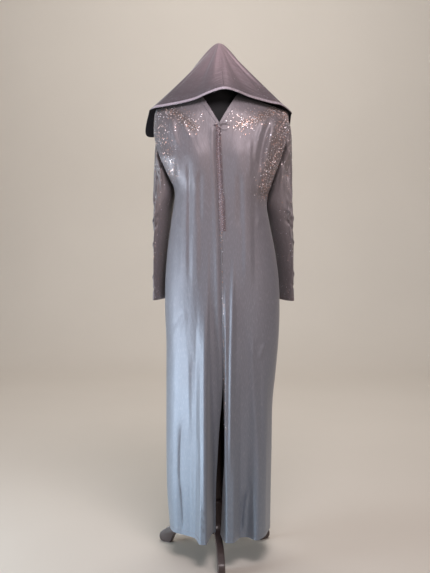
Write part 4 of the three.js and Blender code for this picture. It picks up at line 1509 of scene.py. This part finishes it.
DOWN = np.linspace(0.03, 1.985, 500)
HEM_ROW = 2 - 14 / (UNDERARM - HEM)
ABOVE = 0.25  # how far a stitch's middle stands off the cloth
EDGE_ROW, UNDER_BRAID = 0.026, 1.1  # the row by the edge, which starts below the braid on the left
BESIDE = {RIGHT: 0.055, LEFT: 0.116}  # the share of the panel at which the second row runs
WHOLE_EDGE = 0.1
PANELS = [(front_right, FRONT, RIGHT), (front_left, FRONT, LEFT)]
PANELS += [(back_right, BACK, RIGHT), (back_left, BACK, LEFT)]
for host, face, side in PANELS:
    surface, out = panel_surface(face, side), face * side
    rows = [row_on(surface, np.linspace(0.01, 0.97, 200), HEM_ROW, out, ABOVE)]
    if face == FRONT:
        start = UNDER_BRAID if side == LEFT else WHOLE_EDGE
        rows.append(row_on(surface, EDGE_ROW, DOWN[DOWN > start], out, ABOVE))
        beside = DOWN[(DOWN > WHOLE_EDGE) & (DOWN < UNDER_BRAID)]
        rows.append(row_on(surface, BESIDE[side], beside, out, ABOVE))
    reach = BAND_SHARE if face == FRONT else BACK_BAND
    for v in (BAND_ROW * 0.15, BAND_ROW * 0.85):
        rows.append(row_on(surface, np.linspace(0.01, reach - 0.01, 60), v, out, LIFT + ABOVE))
    sew(host, rows)
for host, side in [(sleeve_right, RIGHT), (sleeve_left, LEFT)]:
    turns = np.linspace(0, 1, 120)
    sew(host, [row_on(sleeve_surface(side), turns, v, -side, ABOVE) for v in (0.972, 0.978)])

# Rows of the hood: the places it runs between, its points, how far out it lies, how far it is raised.
HOOD_ROWS = [(-4.9, 4.9, 240, out, LIFT + ABOVE) for out in (0.961, 0.992)]
HOOD_ROWS += [(0.2, 4.8, 120, out, ABOVE) for out in (0.935, 0.915, 0.895, 0.875)]
HOOD_ROWS += [(-4.4, 0, 110, out, ABOVE) for out in (0.93, 0.90)]
HOOD_ROWS += [(5, 15, 300, 0.985, ABOVE)]
sew(hood, [row_on(hood_point, np.linspace(a, b, n), out, 1, up) for a, b, n, out, up in HOOD_ROWS])
bpy.data.objects.remove(stitch)

# %% Ride, replace and give finishes
FINISH = {
    "satin": SATIN_PAINTED_LIGHT, "pale_satin": PALE_SATIN, "braid": BRAID, "jersey": JERSEY, "dark_wood": WALNUT
}
PIECES = [
    (front_right, ["front_right"], "satin"),
    (front_left, ["front_left"], "satin"),
    (back_right, ["back_right"], "satin"),
    (back_left, ["back_left"], "satin"),
    (sleeve_right, ["sleeve_right_outer", "sleeve_right_inner"], "satin"),
    (sleeve_left, ["sleeve_left_outer", "sleeve_left_inner"], "satin"),
    (hood, ["hood"], "satin"),
    (band_right, ["neckband_right"], "satin"),
    (band_left, ["neckband_left"], "satin"),
    (band_back_right, ["neckband_back_right"], "satin"),
    (band_back_left, ["neckband_back_left"], "satin"),
    (braid, ["placket_braid"], "braid"),
    (hood_band, ["hood_band"], "pale_satin"),
    (form, ["form_torso"], "jersey"),
    (neck_cap, ["neck_cap"], "dark_wood"),
    (pole, ["pole"], "dark_wood"),
    (hub, ["hub"], "dark_wood"),
    (leg_front, ["leg_front"], "dark_wood"),
    (leg_right, ["leg_right"], "dark_wood"),
    (leg_left, ["leg_left"], "dark_wood"),
]
SPECIAL = {
    "cloth_sleeve_right": SLEEVE_SATIN_PAINTED_SHADE,
    "cloth_sleeve_left": SLEEVE_SATIN_PAINTED_SHADE,
    "cloth_hood": HOOD_SATIN_PAINTED_LIGHT,
}
for piece, nodes, slot in PIECES:
    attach(piece, "root")
    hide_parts(*nodes)
    piece.data.materials.append(SPECIAL.get(piece.name, FINISH[slot]))
    # Inner faces of satin pieces take the wrong side, whose near-black colour is painted shade.
    piece.data.materials.append(REVERSE_PAINTED_SHADE if slot == "satin" else FINISH[slot])

for pieces in ON_CLOTH.values():
    for piece in pieces:
        if piece.name.startswith(("stones", "stitches")):
            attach(piece, "root")


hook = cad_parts["neck_hook"].data
hook.materials.clear()
hook.materials.append(BRAID)


def area_of(piece):
    return sum(face.area for face in piece.data.polygons)


for piece, *_ in PIECES:
    print(piece.name, "area", round(area_of(piece), 4), "faces", len(piece.data.polygons))
